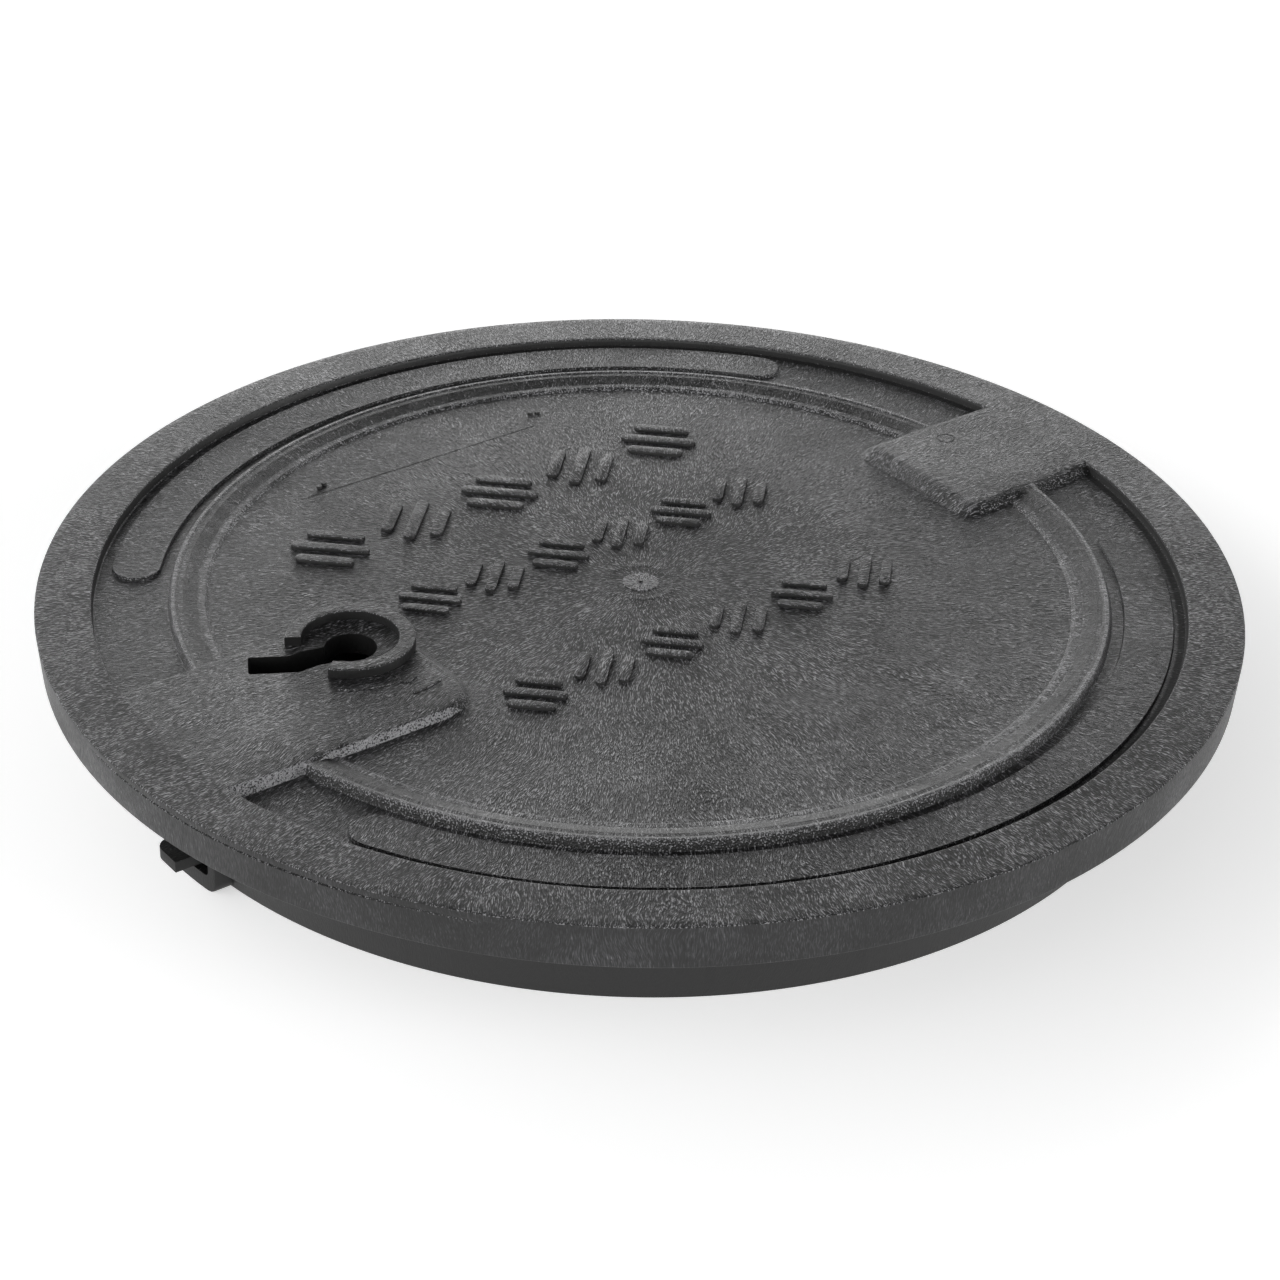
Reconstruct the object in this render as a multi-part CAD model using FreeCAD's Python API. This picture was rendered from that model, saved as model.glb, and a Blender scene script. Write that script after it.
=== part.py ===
import FreeCAD, Part
import math
import os

# Water meter box cover: a round moulded polyolefin lid with a spring bolt under it.
# Millimetres. The origin is the centre of the skirt's lower edge, +Z is up, the lock
# lies towards -X and the plain pad towards +X.

# Levels of the moulding
TOP_Z = 74.0
RIM_THICKNESS = 25.4
CHANNEL_DEPTH = 6.5
DISC_DEPTH = 5.4
PLATE_THICKNESS = 8.6

# Rim with a hollow flange
RIM_RADIUS = 336.5
RIM_WIDTH = 30.9
RIM_DRAFT = 2.0
RIM_EDGE_CUT = 1.2
RIM_INNER_EDGE_CUT = 0.6
CHANNEL_WALL_DRAFT = 0.8
LIP_WIDTH = 9.0
FLANGE_TOP_WALL = 8.0
GUSSET_COUNT = 24
GUSSET_THICKNESS = 5.0

# Skirt that drops into the pit, set in from the rim
SKIRT_SETBACK = 33.5
SKIRT_DRAFT = 9.0
SKIRT_WALL = 8.0
SKIRT_EDGE_CUT = 0.8

# Bead ring between the channel and the central disc: a shoulder, then a narrow lip
CHANNEL_WIDTH = 42.4
BEAD_WIDTH = 24.2
BEAD_WALL_DRAFT = 0.6
BEAD_CREST_DEPTH = 2.6
BEAD_CREST_CUT = 0.7
BEAD_LIP_WIDTH = 5.5
BEAD_LIP_RUN = 3.2
BEAD_LIP_FOOT_DEPTH = 3.6
BEAD_SHOULDER_DEPTH = 3.9
BEAD_SHOULDER_RUN = 9.0

# Raised arcs on the channel floor: middle angle and half span in degrees
ARC_RIM_GAP = 7.6
ARC_BEAD_GAP = 7.3
ARC_HEIGHT = 1.5
ARCS = ((90.0, 54.8), (270.0, 67.1))

# Pads that bridge the channel, level with the rim
PAD_SIDE_RUN = 7.0
PAD_STEEP_RUN = 3.0
PAD_EDGE_RUN = 1.2
PAD_EDGE_DROP = 0.8
PAD_ROOT = 1.5
PAD_RIM_OVERLAP = 10.4
LOCK_PAD_HALF_WIDTH = 61.0
LOCK_PAD_REACH = 34.0
LOCK_PAD_CORNER = 27.0
PLAIN_PAD_HALF_WIDTH = 53.0
PLAIN_PAD_LENGTH = 136.5
PLAIN_PAD_CORNER = 12.0

# Keyhole in the lock pad, with a bent slot for the key's foot and an open collar
KEYHOLE_SETBACK = 161.5
KEYHOLE_Y = 28.0
KEYHOLE_RADIUS = 14.3
KEY_SLOT_WIDTH = 17.2
KEY_SLOT_STRAIGHT = 35.5
KEY_SLOT_END = 24.5
KEY_SLOT_BEND = 30.0
KEY_SWING_RADIUS = 68.0
DISH_DEPTH = 2.0
COLLAR_INNER_RADIUS = 26.5
COLLAR_OUTER_RADIUS = 35.4
COLLAR_HEIGHT = 5.5
COLLAR_START = 218.0
COLLAR_SWEEP = 290.0

# Ribs under the plate
RIB_THICKNESS = 6.0
RIB_DEPTH = 38.0
RIB_STEP = 30.0
HUB_GAP = 4.0

# Housing on the skirt that the bolt comes out of
BOLT_OFFSET = 46.4
HOUSING_SETBACK = 31.0
HOUSING_WALL = 5.0
HOUSING_GAP = 2.0
HOUSING_CORNER = 7.0
HOUSING_ROOF_Z = 42.0
WINDOW_HALF_WIDTH = 16.6
WINDOW_FOOT_Z = 9.5
WINDOW_HEIGHT = 16.5
WINDOW_CORNER = 3.0

# Bolt: a flat bar with a lug for the key's foot, a block and a stem for the spring
BOLT_PROJECTION = 13.5
BOLT_LENGTH = 143.0
BOLT_WIDTH = 22.0
BOLT_THICKNESS = 6.5
BOLT_FOOT_Z = 15.0
BOLT_TIP_CORNER = 8.0
BOLT_TRAVEL = 22.0
LUG_FROM_TIP = 105.0
LUG_LENGTH = 14.0
LUG_HEIGHT = 29.0
BLOCK_LENGTH = 12.0
BLOCK_HEIGHT = 13.0
BLOCK_WIDTH = 16.0
WEB_THICKNESS = 6.0
WEB_DROP = 4.0
STEM_RADIUS = 3.0
STEM_REACH = 4.0

# Carrier: a moulded channel under the bolt, screwed to bosses of the cover
SLIDE_CLEARANCE = 0.3
SIDE_CLEARANCE = 0.5
CARRIER_WALL = 4.0
CARRIER_BASE = 3.7
KEEPER_THICKNESS = 3.7
CARRIER_END_WALL = 6.0
CARRIER_NOSE_GAP = 1.0
SPRING_CHAMBER = 42.0
KEEPER_SETBACK = 6.5
WEB_GAP = 1.0
STEM_CLEARANCE = 0.5
EAR_RADIUS = 9.0
EAR_OFFSET = 24.4
BAY_NEAR_MARGIN = 39.6

# Screws and the bosses that take them; their places are measured from the housing's face
OUTER_SCREW_DISTANCE = 37.5
MIDDLE_SCREW_DISTANCE = 155.5
END_SCREW_DISTANCE = 211.5
BOSS_RADIUS = 8.0
SCREW_RADIUS = 2.4
SCREW_CLEARANCE = 0.1
SCREW_REACH = 16.0
SCREW_TIP_SPACE = 3.0
SCREW_HEAD_FLATS = 8.0
SCREW_HEAD_HEIGHT = 3.2

# Compression spring around the stem, its wire drawn with flat sides
SPRING_RADIUS = 5.3
SPRING_WIRE_RADIUS = 0.7
SPRING_TURNS = 9
SPRING_SEAT_GAP = 0.3
SPRING_STEPS_PER_TURN = 12
SPRING_WIRE_SIDES = 6

# Levels and places that follow from the sizes above
CHANNEL_Z = TOP_Z - CHANNEL_DEPTH
DISC_Z = TOP_Z - DISC_DEPTH
PLATE_UNDERSIDE_Z = DISC_Z - PLATE_THICKNESS
RIB_FOOT_Z = PLATE_UNDERSIDE_Z - RIB_DEPTH
LIP_FOOT_Z = TOP_Z - RIM_THICKNESS
FLANGE_UNDERSIDE_Z = TOP_Z - FLANGE_TOP_WALL
RIM_INNER_RADIUS = RIM_RADIUS - RIM_WIDTH
BEAD_OUTER_RADIUS = RIM_INNER_RADIUS - CHANNEL_WIDTH
BEAD_INNER_RADIUS = BEAD_OUTER_RADIUS - BEAD_WIDTH
ARC_OUTER_RADIUS = RIM_INNER_RADIUS - ARC_RIM_GAP
ARC_INNER_RADIUS = BEAD_OUTER_RADIUS + ARC_BEAD_GAP
SKIRT_TOP_RADIUS = RIM_RADIUS - SKIRT_SETBACK
SKIRT_FOOT_RADIUS = SKIRT_TOP_RADIUS - SKIRT_DRAFT
SKIRT_TAPER = SKIRT_DRAFT / LIP_FOOT_Z
PAD_ROOT_Z = CHANNEL_Z - PAD_ROOT
PAD_OUTER_X = RIM_INNER_RADIUS + PAD_RIM_OVERLAP
PLAIN_PAD_INNER_X = RIM_RADIUS - PLAIN_PAD_LENGTH
KEYHOLE_X = KEYHOLE_SETBACK - RIM_RADIUS
LOCK_PAD_INNER_X = -KEYHOLE_X - LOCK_PAD_REACH
HOUSING_FACE_X = HOUSING_SETBACK - RIM_RADIUS
BOLT_Y = KEYHOLE_Y - BOLT_OFFSET
BOLT_TIP_X = HOUSING_FACE_X - BOLT_PROJECTION
BOLT_SHOULDER_X = BOLT_TIP_X + BOLT_LENGTH
BOLT_TOP_Z = BOLT_FOOT_Z + BOLT_THICKNESS
LUG_FACE_X = BOLT_TIP_X + LUG_FROM_TIP
LUG_TOP_Z = BOLT_FOOT_Z + LUG_HEIGHT
STEM_Z = BOLT_FOOT_Z + BLOCK_HEIGHT / 2
CARRIER_FLOOR_Z = BOLT_FOOT_Z - SLIDE_CLEARANCE
CARRIER_FOOT_Z = CARRIER_FLOOR_Z - CARRIER_BASE
CARRIER_HALF_WIDTH = BOLT_WIDTH / 2 + SIDE_CLEARANCE + CARRIER_WALL
CARRIER_NOSE_X = HOUSING_FACE_X + SKIRT_WALL + CARRIER_NOSE_GAP
HOUSING_HALF_WIDTH = CARRIER_HALF_WIDTH + HOUSING_GAP + HOUSING_WALL
SPRING_WALL_X = BOLT_SHOULDER_X + SPRING_CHAMBER
OUTER_SCREW_X = HOUSING_FACE_X + OUTER_SCREW_DISTANCE
SCREW_PLACES = (
    (OUTER_SCREW_X, BOLT_Y + EAR_OFFSET),
    (OUTER_SCREW_X, BOLT_Y - EAR_OFFSET),
    (HOUSING_FACE_X + MIDDLE_SCREW_DISTANCE, BOLT_Y - EAR_OFFSET),
    (HOUSING_FACE_X + END_SCREW_DISTANCE, BOLT_Y),
)
# The bay around the lock, where the key's foot swings
BAY_INNER_X = HOUSING_FACE_X + END_SCREW_DISTANCE + 2 * BOSS_RADIUS
BAY_NEAR_Y = BOLT_Y - BAY_NEAR_MARGIN
BAY_FAR_Y = KEYHOLE_Y + KEY_SWING_RADIUS
HUB_RADIUS = -BAY_INNER_X - HUB_GAP

V = FreeCAD.Vector
UP = V(0, 0, 1)
# How far a piece runs into what it joins, or a cutting tool past the face it cuts
OVERRUN = 1.0


def skirt_radius(z):
    # outer radius of the tapered skirt at one level
    return SKIRT_FOOT_RADIUS + SKIRT_TAPER * z


def block(x0, x1, y0, y1, z0, z1):
    return Part.makeBox(x1 - x0, y1 - y0, z1 - z0, V(x0, y0, z0))


def rod(radius, x, y, z0, z1):
    return Part.makeCylinder(radius, z1 - z0, V(x, y, z0), UP)


def outline(corners, place, flat_cuts=False):
    # closed outline through corners (a, b, radius): each is rounded by an arc of its radius,
    # or cut off flat between the arc's ends
    count = len(corners)
    edges = []
    last_end = None
    first_start = None
    for k in range(count):
        a, b, radius = corners[k]
        before = corners[k - 1]
        after = corners[(k + 1) % count]
        to_before = V(before[0] - a, before[1] - b, 0)
        to_after = V(after[0] - a, after[1] - b, 0)
        to_before.normalize()
        to_after.normalize()
        corner = V(a, b, 0)
        start = end = corner
        if radius > 0:
            half = to_before.getAngle(to_after) / 2
            start = corner + to_before * (radius / math.tan(half))
            end = corner + to_after * (radius / math.tan(half))
            middle = to_before + to_after
            middle.normalize()
            middle = corner + middle * (radius / math.sin(half) - radius)
        if last_end is not None:
            edges.append(Part.LineSegment(place(last_end), place(start)).toShape())
        else:
            first_start = start
        if radius > 0 and flat_cuts:
            edges.append(Part.LineSegment(place(start), place(end)).toShape())
        elif radius > 0:
            edges.append(Part.Arc(place(start), place(middle), place(end)).toShape())
        last_end = end
    edges.append(Part.LineSegment(place(last_end), place(first_start)).toShape())
    return Part.Wire(edges)


def turned(corners):
    # solid of revolution from a half section of (radius, height, size of the edge's flat cut)
    face = Part.Face(outline(corners, lambda p: V(p.x, 0, p.y), True))
    return face.revolve(V(0, 0, 0), UP, 360)


def plan_wire(corners, z):
    return outline(corners, lambda p: V(p.x, p.y, z))


def plan_prism(corners, z0, z1):
    return Part.Face(plan_wire(corners, z0)).extrude(V(0, 0, z1 - z0))


def end_prism(corners, x0, x1):
    # prism along X from corners (y, z, radius)
    wire = outline(corners, lambda p: V(x0, p.x, p.y))
    return Part.Face(wire).extrude(V(x1 - x0, 0, 0))


def side_prism(corners, y0, y1):
    # prism along Y from corners (x, z, radius)
    wire = outline(corners, lambda p: V(p.x, y0, p.y))
    return Part.Face(wire).extrude(V(0, y1 - y0, 0))


def ring_sector(inner, outer, z0, z1, start, sweep, x=0.0, y=0.0):
    # ring of rectangular section, swept round a vertical axis through (x, y)
    corners = ((inner, z0, 0), (outer, z0, 0), (outer, z1, 0), (inner, z1, 0))
    face = Part.Face(outline(corners, lambda p: V(x + p.x, y, p.y)))
    face.rotate(V(x, y, 0), UP, start)
    return face.revolve(V(x, y, 0), UP, sweep)


# Cover: one moulded piece, made of the forms below

def plate_and_skirt():
    lip_outer = RIM_RADIUS - RIM_DRAFT
    lip_inner = lip_outer - LIP_WIDTH
    crest_z = TOP_Z - BEAD_CREST_DEPTH
    crest_outer = BEAD_OUTER_RADIUS - BEAD_WALL_DRAFT
    lip_foot = crest_outer - BEAD_LIP_WIDTH
    return turned((
        (0, PLATE_UNDERSIDE_Z, 0),
        (0, DISC_Z, 0),
        (BEAD_INNER_RADIUS, DISC_Z, 0),
        (BEAD_INNER_RADIUS + BEAD_SHOULDER_RUN, TOP_Z - BEAD_SHOULDER_DEPTH, 0),
        (lip_foot, TOP_Z - BEAD_LIP_FOOT_DEPTH, 0),
        (lip_foot + BEAD_LIP_RUN, crest_z, 0),
        (crest_outer, crest_z, BEAD_CREST_CUT),
        (BEAD_OUTER_RADIUS, CHANNEL_Z, 0),
        (RIM_INNER_RADIUS - CHANNEL_WALL_DRAFT, CHANNEL_Z, 0),
        (RIM_INNER_RADIUS, TOP_Z, RIM_INNER_EDGE_CUT),
        (RIM_RADIUS, TOP_Z, RIM_EDGE_CUT),
        (lip_outer, LIP_FOOT_Z, 0),
        (lip_inner, LIP_FOOT_Z, 0),
        (lip_inner, FLANGE_UNDERSIDE_Z, 0),
        (skirt_radius(FLANGE_UNDERSIDE_Z), FLANGE_UNDERSIDE_Z, 0),
        (SKIRT_FOOT_RADIUS, 0, SKIRT_EDGE_CUT),
        (SKIRT_FOOT_RADIUS - SKIRT_WALL, 0, SKIRT_EDGE_CUT),
        (skirt_radius(PLATE_UNDERSIDE_Z) - SKIRT_WALL, PLATE_UNDERSIDE_Z, 0),
    ))


def flange_gussets():
    # short radial webs that stiffen the hollow flange
    inner = skirt_radius(LIP_FOOT_Z) - SKIRT_WALL / 2
    outer = RIM_RADIUS - RIM_DRAFT - LIP_WIDTH / 2
    gussets = []
    for k in range(GUSSET_COUNT):
        web = block(inner, outer, -GUSSET_THICKNESS / 2, GUSSET_THICKNESS / 2,
                    LIP_FOOT_Z, FLANGE_UNDERSIDE_Z + OVERRUN)
        web.rotate(V(0, 0, 0), UP, 360.0 * k / GUSSET_COUNT)
        gussets.append(web)
    return gussets


def raised_arc(middle, half_span):
    # low raised band on the channel floor with round ends
    end_radius = (ARC_OUTER_RADIUS - ARC_INNER_RADIUS) / 2
    centre_radius = (ARC_OUTER_RADIUS + ARC_INNER_RADIUS) / 2
    end_angle = half_span - math.degrees(end_radius / centre_radius)
    foot = CHANNEL_Z - OVERRUN
    top = CHANNEL_Z + ARC_HEIGHT
    band = ring_sector(ARC_INNER_RADIUS, ARC_OUTER_RADIUS, foot, top,
                       middle - end_angle, 2 * end_angle)
    ends = []
    for angle in (middle - end_angle, middle + end_angle):
        x = centre_radius * math.cos(math.radians(angle))
        y = centre_radius * math.sin(math.radians(angle))
        ends.append(rod(end_radius, x, y, foot, top))
    return band.multiFuse(ends)


def pad(inner_x, half_width, corner, side_run):
    # bridge over the channel: sloped sides and inner end with a cut upper edge, its outer
    # end inside the rim; the slope of its side towards +Y has a run of its own
    slope = PAD_SIDE_RUN / (TOP_Z - CHANNEL_Z)
    edge_z = TOP_Z - PAD_EDGE_DROP
    levels = (
        (PAD_ROOT_Z, slope * (PAD_ROOT_Z - CHANNEL_Z)),
        (edge_z, slope * (edge_z - CHANNEL_Z)),
        (TOP_Z, PAD_SIDE_RUN + PAD_EDGE_RUN),
    )
    wires = []
    for z, inset in levels:
        out = PAD_SIDE_RUN - inset
        side_y = half_width - PAD_SIDE_RUN + out * side_run / PAD_SIDE_RUN
        wires.append(plan_wire((
            (inner_x + inset, -half_width + inset, corner - inset),
            (PAD_OUTER_X, -half_width + inset, 0),
            (PAD_OUTER_X, side_y, 0),
            (inner_x + inset, side_y, corner - inset),
        ), z))
    return Part.makeLoft(wires, True, True)


def lock_pad():
    # its steep side faces the bolt
    solid = pad(LOCK_PAD_INNER_X, LOCK_PAD_HALF_WIDTH, LOCK_PAD_CORNER, PAD_STEEP_RUN)
    solid.rotate(V(0, 0, 0), UP, 180)
    return solid


def plain_pad():
    return pad(PLAIN_PAD_INNER_X, PLAIN_PAD_HALF_WIDTH, PLAIN_PAD_CORNER, PAD_SIDE_RUN)


def collar():
    # round seat under the key, and the open ring that guides the key's handle round
    seat = rod(COLLAR_OUTER_RADIUS, KEYHOLE_X, KEYHOLE_Y, PAD_ROOT_Z, TOP_Z)
    ring = ring_sector(COLLAR_INNER_RADIUS, COLLAR_OUTER_RADIUS, TOP_Z - OVERRUN, TOP_Z + COLLAR_HEIGHT,
                       COLLAR_START, COLLAR_SWEEP, KEYHOLE_X, KEYHOLE_Y)
    return seat.fuse(ring)


def keyhole():
    # cutting tool: round hole, bent slot and the shallow dish around the hole
    z0 = PLATE_UNDERSIDE_Z - OVERRUN
    z1 = TOP_Z + COLLAR_HEIGHT + OVERRUN
    hole = rod(KEYHOLE_RADIUS, KEYHOLE_X, KEYHOLE_Y, z0, z1)
    half = KEY_SLOT_WIDTH / 2
    bend = math.radians(KEY_SLOT_BEND)
    knee = V(KEYHOLE_X - KEY_SLOT_STRAIGHT, KEYHOLE_Y, 0)
    run = V(-math.cos(bend), math.sin(bend), 0)
    across = V(math.sin(bend), math.cos(bend), 0) * half
    mitre = V(math.sin(bend / 2), math.cos(bend / 2), 0) * (half / math.cos(bend / 2))
    tip = knee + run * KEY_SLOT_END
    corners = [V(KEYHOLE_X, KEYHOLE_Y + half, 0), knee + mitre, tip + across,
               tip - across, knee - mitre, V(KEYHOLE_X, KEYHOLE_Y - half, 0)]
    slot = plan_prism([(p.x, p.y, 0) for p in corners], z0, z1)
    dish = Part.makeCone(KEYHOLE_RADIUS, COLLAR_INNER_RADIUS, DISH_DEPTH,
                         V(KEYHOLE_X, KEYHOLE_Y, TOP_Z - DISH_DEPTH), UP)
    return hole.multiFuse([slot, dish])


def ribs():
    # radial ribs, hub ring and the walls of the lock bay, all ending inside the skirt
    reach = SKIRT_TOP_RADIUS
    top = PLATE_UNDERSIDE_Z + OVERRUN
    radial = []
    for k in range(int(round(360.0 / RIB_STEP))):
        rib = block(HUB_RADIUS - RIB_THICKNESS / 2, reach, -RIB_THICKNESS / 2, RIB_THICKNESS / 2,
                    RIB_FOOT_Z, top)
        rib.rotate(V(0, 0, 0), UP, k * RIB_STEP)
        radial.append(rib)
    bay = block(-reach - OVERRUN, BAY_INNER_X, BAY_NEAR_Y, BAY_FAR_Y, RIB_FOOT_Z - OVERRUN, top + OVERRUN)
    hub = ring_sector(HUB_RADIUS - RIB_THICKNESS, HUB_RADIUS, RIB_FOOT_Z, top, 0, 360)
    web = hub.multiFuse(radial).cut(bay)
    wall = RIB_THICKNESS
    walls = [
        block(-reach, BAY_INNER_X + wall, BAY_NEAR_Y - wall, BAY_NEAR_Y, RIB_FOOT_Z, top),
        block(-reach, BAY_INNER_X + wall, BAY_FAR_Y, BAY_FAR_Y + wall, RIB_FOOT_Z, top),
        block(BAY_INNER_X, BAY_INNER_X + wall, BAY_NEAR_Y, BAY_FAR_Y, RIB_FOOT_Z, top),
    ]
    inner_foot = skirt_radius(RIB_FOOT_Z) - SKIRT_WALL / 2
    inner_top = skirt_radius(top) - SKIRT_WALL / 2
    inside = Part.makeCone(inner_foot, inner_top, top - RIB_FOOT_Z, V(0, 0, RIB_FOOT_Z), UP)
    return web.multiFuse(walls).common(inside)


def housing_shell(half_width, corner, x0, x1, z0, z1):
    return end_prism((
        (BOLT_Y - half_width, z0, corner),
        (BOLT_Y + half_width, z0, corner),
        (BOLT_Y + half_width, z1, 0),
        (BOLT_Y - half_width, z1, 0),
    ), x0, x1)


def bosses():
    top = PLATE_UNDERSIDE_Z + OVERRUN
    return [rod(BOSS_RADIUS, x, y, CARRIER_FLOOR_Z, top) for x, y in SCREW_PLACES]


def boss_holes():
    depth = CARRIER_FLOOR_Z + SCREW_REACH + SCREW_TIP_SPACE
    radius = SCREW_RADIUS + SCREW_CLEARANCE
    return [rod(radius, x, y, CARRIER_FLOOR_Z - OVERRUN, depth) for x, y in SCREW_PLACES]


def cover():
    body = plate_and_skirt()
    # the skirt steps out round the bolt: outer form first, then its hollow
    inner_face_x = -(skirt_radius(0) - SKIRT_WALL / 2)
    outer_top = FLANGE_UNDERSIDE_Z + OVERRUN
    outer = housing_shell(HOUSING_HALF_WIDTH, HOUSING_CORNER, HOUSING_FACE_X, inner_face_x, 0, outer_top)
    outer = outer.common(rod(-HOUSING_FACE_X, 0, 0, 0, outer_top))
    hollow_width = HOUSING_HALF_WIDTH - HOUSING_WALL
    hollow = block(HOUSING_FACE_X + SKIRT_WALL, -(SKIRT_FOOT_RADIUS - 3 * SKIRT_WALL),
                   BOLT_Y - hollow_width, BOLT_Y + hollow_width, -OVERRUN, HOUSING_ROOF_Z)
    window_top = WINDOW_FOOT_Z + WINDOW_HEIGHT
    window = housing_shell(WINDOW_HALF_WIDTH, WINDOW_CORNER, HOUSING_FACE_X - OVERRUN,
                           HOUSING_FACE_X + SKIRT_WALL + OVERRUN, WINDOW_FOOT_Z, window_top)
    body = body.fuse(outer).cut(hollow).cut(window)
    forms = [raised_arc(middle, half_span) for middle, half_span in ARCS]
    forms += [lock_pad(), plain_pad(), collar(), ribs()]
    forms += flange_gussets()
    forms += bosses()
    body = body.multiFuse(forms)
    body = body.cut(keyhole())
    for hole in boss_holes():
        body = body.cut(hole)
    return body.removeSplitter()


# Bolt

def lock_bolt():
    half = BOLT_WIDTH / 2
    bar = plan_prism((
        (BOLT_TIP_X, BOLT_Y - half, 0),
        (BOLT_SHOULDER_X, BOLT_Y - half, 0),
        (BOLT_SHOULDER_X, BOLT_Y + half, 0),
        (BOLT_TIP_X, BOLT_Y + half, BOLT_TIP_CORNER),
    ), BOLT_FOOT_Z, BOLT_TOP_Z)
    lug = block(LUG_FACE_X, LUG_FACE_X + LUG_LENGTH, BOLT_Y - half, BOLT_Y + half, BOLT_FOOT_Z, LUG_TOP_Z)
    block_face_x = BOLT_SHOULDER_X - BLOCK_LENGTH
    block_top = BOLT_FOOT_Z + BLOCK_HEIGHT
    seat = block(block_face_x, BOLT_SHOULDER_X, BOLT_Y - BLOCK_WIDTH / 2, BOLT_Y + BLOCK_WIDTH / 2,
                 BOLT_FOOT_Z, block_top)
    # web that backs the lug against the key
    web = side_prism((
        (LUG_FACE_X + LUG_LENGTH, BOLT_TOP_Z, 0),
        (block_face_x, BOLT_TOP_Z, 0),
        (block_face_x, block_top, 0),
        (LUG_FACE_X + LUG_LENGTH, LUG_TOP_Z - WEB_DROP, 0),
    ), BOLT_Y - WEB_THICKNESS / 2, BOLT_Y + WEB_THICKNESS / 2)
    stem_length = SPRING_CHAMBER + STEM_REACH
    stem = Part.makeCylinder(STEM_RADIUS, stem_length, V(BOLT_SHOULDER_X, BOLT_Y, STEM_Z), V(1, 0, 0))
    return bar.multiFuse([lug, seat, web, stem]).removeSplitter()


# Carrier

def bolt_carrier():
    y0, y1 = BOLT_Y - CARRIER_HALF_WIDTH, BOLT_Y + CARRIER_HALF_WIDTH
    end_x = SPRING_WALL_X + CARRIER_END_WALL
    low_top = BOLT_TOP_Z + SLIDE_CLEARANCE + KEEPER_THICKNESS
    high_top = BOLT_FOOT_Z + BLOCK_HEIGHT + SLIDE_CLEARANCE + KEEPER_THICKNESS
    base = block(CARRIER_NOSE_X, end_x, y0, y1, CARRIER_FOOT_Z, CARRIER_FLOOR_Z)
    # the roof starts behind the bolt's web when the bolt is drawn back
    chamber_x = BOLT_SHOULDER_X - BLOCK_LENGTH + BOLT_TRAVEL + WEB_GAP
    pieces = []
    for side0, side1 in ((y0, y0 + CARRIER_WALL), (y1 - CARRIER_WALL, y1)):
        pieces.append(block(CARRIER_NOSE_X, chamber_x, side0, side1, CARRIER_FOOT_Z, low_top))
        pieces.append(block(chamber_x, end_x, side0, side1, CARRIER_FOOT_Z, high_top))
    # the keeper over the bolt ends at the lug and stops it
    pieces.append(block(CARRIER_NOSE_X + KEEPER_SETBACK, LUG_FACE_X - SLIDE_CLEARANCE, y0, y1,
                        BOLT_TOP_Z + SLIDE_CLEARANCE, low_top))
    pieces.append(block(chamber_x, end_x, y0, y1, high_top - KEEPER_THICKNESS, high_top))
    pieces.append(block(SPRING_WALL_X, end_x, y0, y1, CARRIER_FOOT_Z, high_top))
    for x, y in SCREW_PLACES:
        pieces.append(rod(EAR_RADIUS, x, y, CARRIER_FOOT_Z, CARRIER_FLOOR_Z))
        if y == BOLT_Y:
            arm = block(end_x - OVERRUN, x, y - EAR_RADIUS, y + EAR_RADIUS,
                        CARRIER_FOOT_Z, CARRIER_FLOOR_Z)
        else:
            arm = block(x - EAR_RADIUS, x + EAR_RADIUS, min(y, BOLT_Y), max(y, BOLT_Y),
                        CARRIER_FOOT_Z, CARRIER_FLOOR_Z)
        pieces.append(arm)
    body = base.multiFuse(pieces)
    stem_hole = Part.makeCylinder(STEM_RADIUS + STEM_CLEARANCE, CARRIER_END_WALL + 2 * OVERRUN,
                                  V(SPRING_WALL_X - OVERRUN, BOLT_Y, STEM_Z), V(1, 0, 0))
    body = body.cut(stem_hole)
    for x, y in SCREW_PLACES:
        body = body.cut(rod(SCREW_RADIUS + SCREW_CLEARANCE, x, y,
                            CARRIER_FOOT_Z - OVERRUN, CARRIER_FLOOR_Z + OVERRUN))
    return body.removeSplitter()


# Screws

def carrier_screw(x, y):
    # six-sided head under the carrier's ear, shank up into the boss
    corner_radius = SCREW_HEAD_FLATS / 2 / math.cos(math.radians(30))
    corners = []
    for k in range(6):
        angle = math.radians(60 * k)
        corners.append((x + corner_radius * math.cos(angle), y + corner_radius * math.sin(angle), 0))
    head = plan_prism(corners, CARRIER_FOOT_Z - SCREW_HEAD_HEIGHT, CARRIER_FOOT_Z)
    shank = rod(SCREW_RADIUS, x, y, CARRIER_FOOT_Z, CARRIER_FLOOR_Z + SCREW_REACH)
    return head.fuse(shank).removeSplitter()


# Spring

def bolt_spring():
    start_x = BOLT_SHOULDER_X + SPRING_SEAT_GAP + SPRING_WIRE_RADIUS
    length = SPRING_CHAMBER - 2 * (SPRING_SEAT_GAP + SPRING_WIRE_RADIUS)
    step_count = SPRING_TURNS * SPRING_STEPS_PER_TURN
    points = []
    for k in range(step_count + 1):
        angle = 2 * math.pi * k / SPRING_STEPS_PER_TURN
        points.append(V(start_x + length * k / step_count,
                        BOLT_Y + SPRING_RADIUS * math.sin(angle),
                        STEM_Z + SPRING_RADIUS * math.cos(angle)))
    along = points[1] - points[0]
    along.normalize()
    sideways = along.cross(UP)
    sideways.normalize()
    upward = sideways.cross(along)
    section = []
    for k in range(SPRING_WIRE_SIDES + 1):
        angle = 2 * math.pi * k / SPRING_WIRE_SIDES
        offset = sideways * math.cos(angle) + upward * math.sin(angle)
        section.append(points[0] + offset * SPRING_WIRE_RADIUS)
    sharp_corners = 1
    path = Part.makePolygon(points)
    return path.makePipeShell([Part.makePolygon(section)], True, False, sharp_corners)


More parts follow.
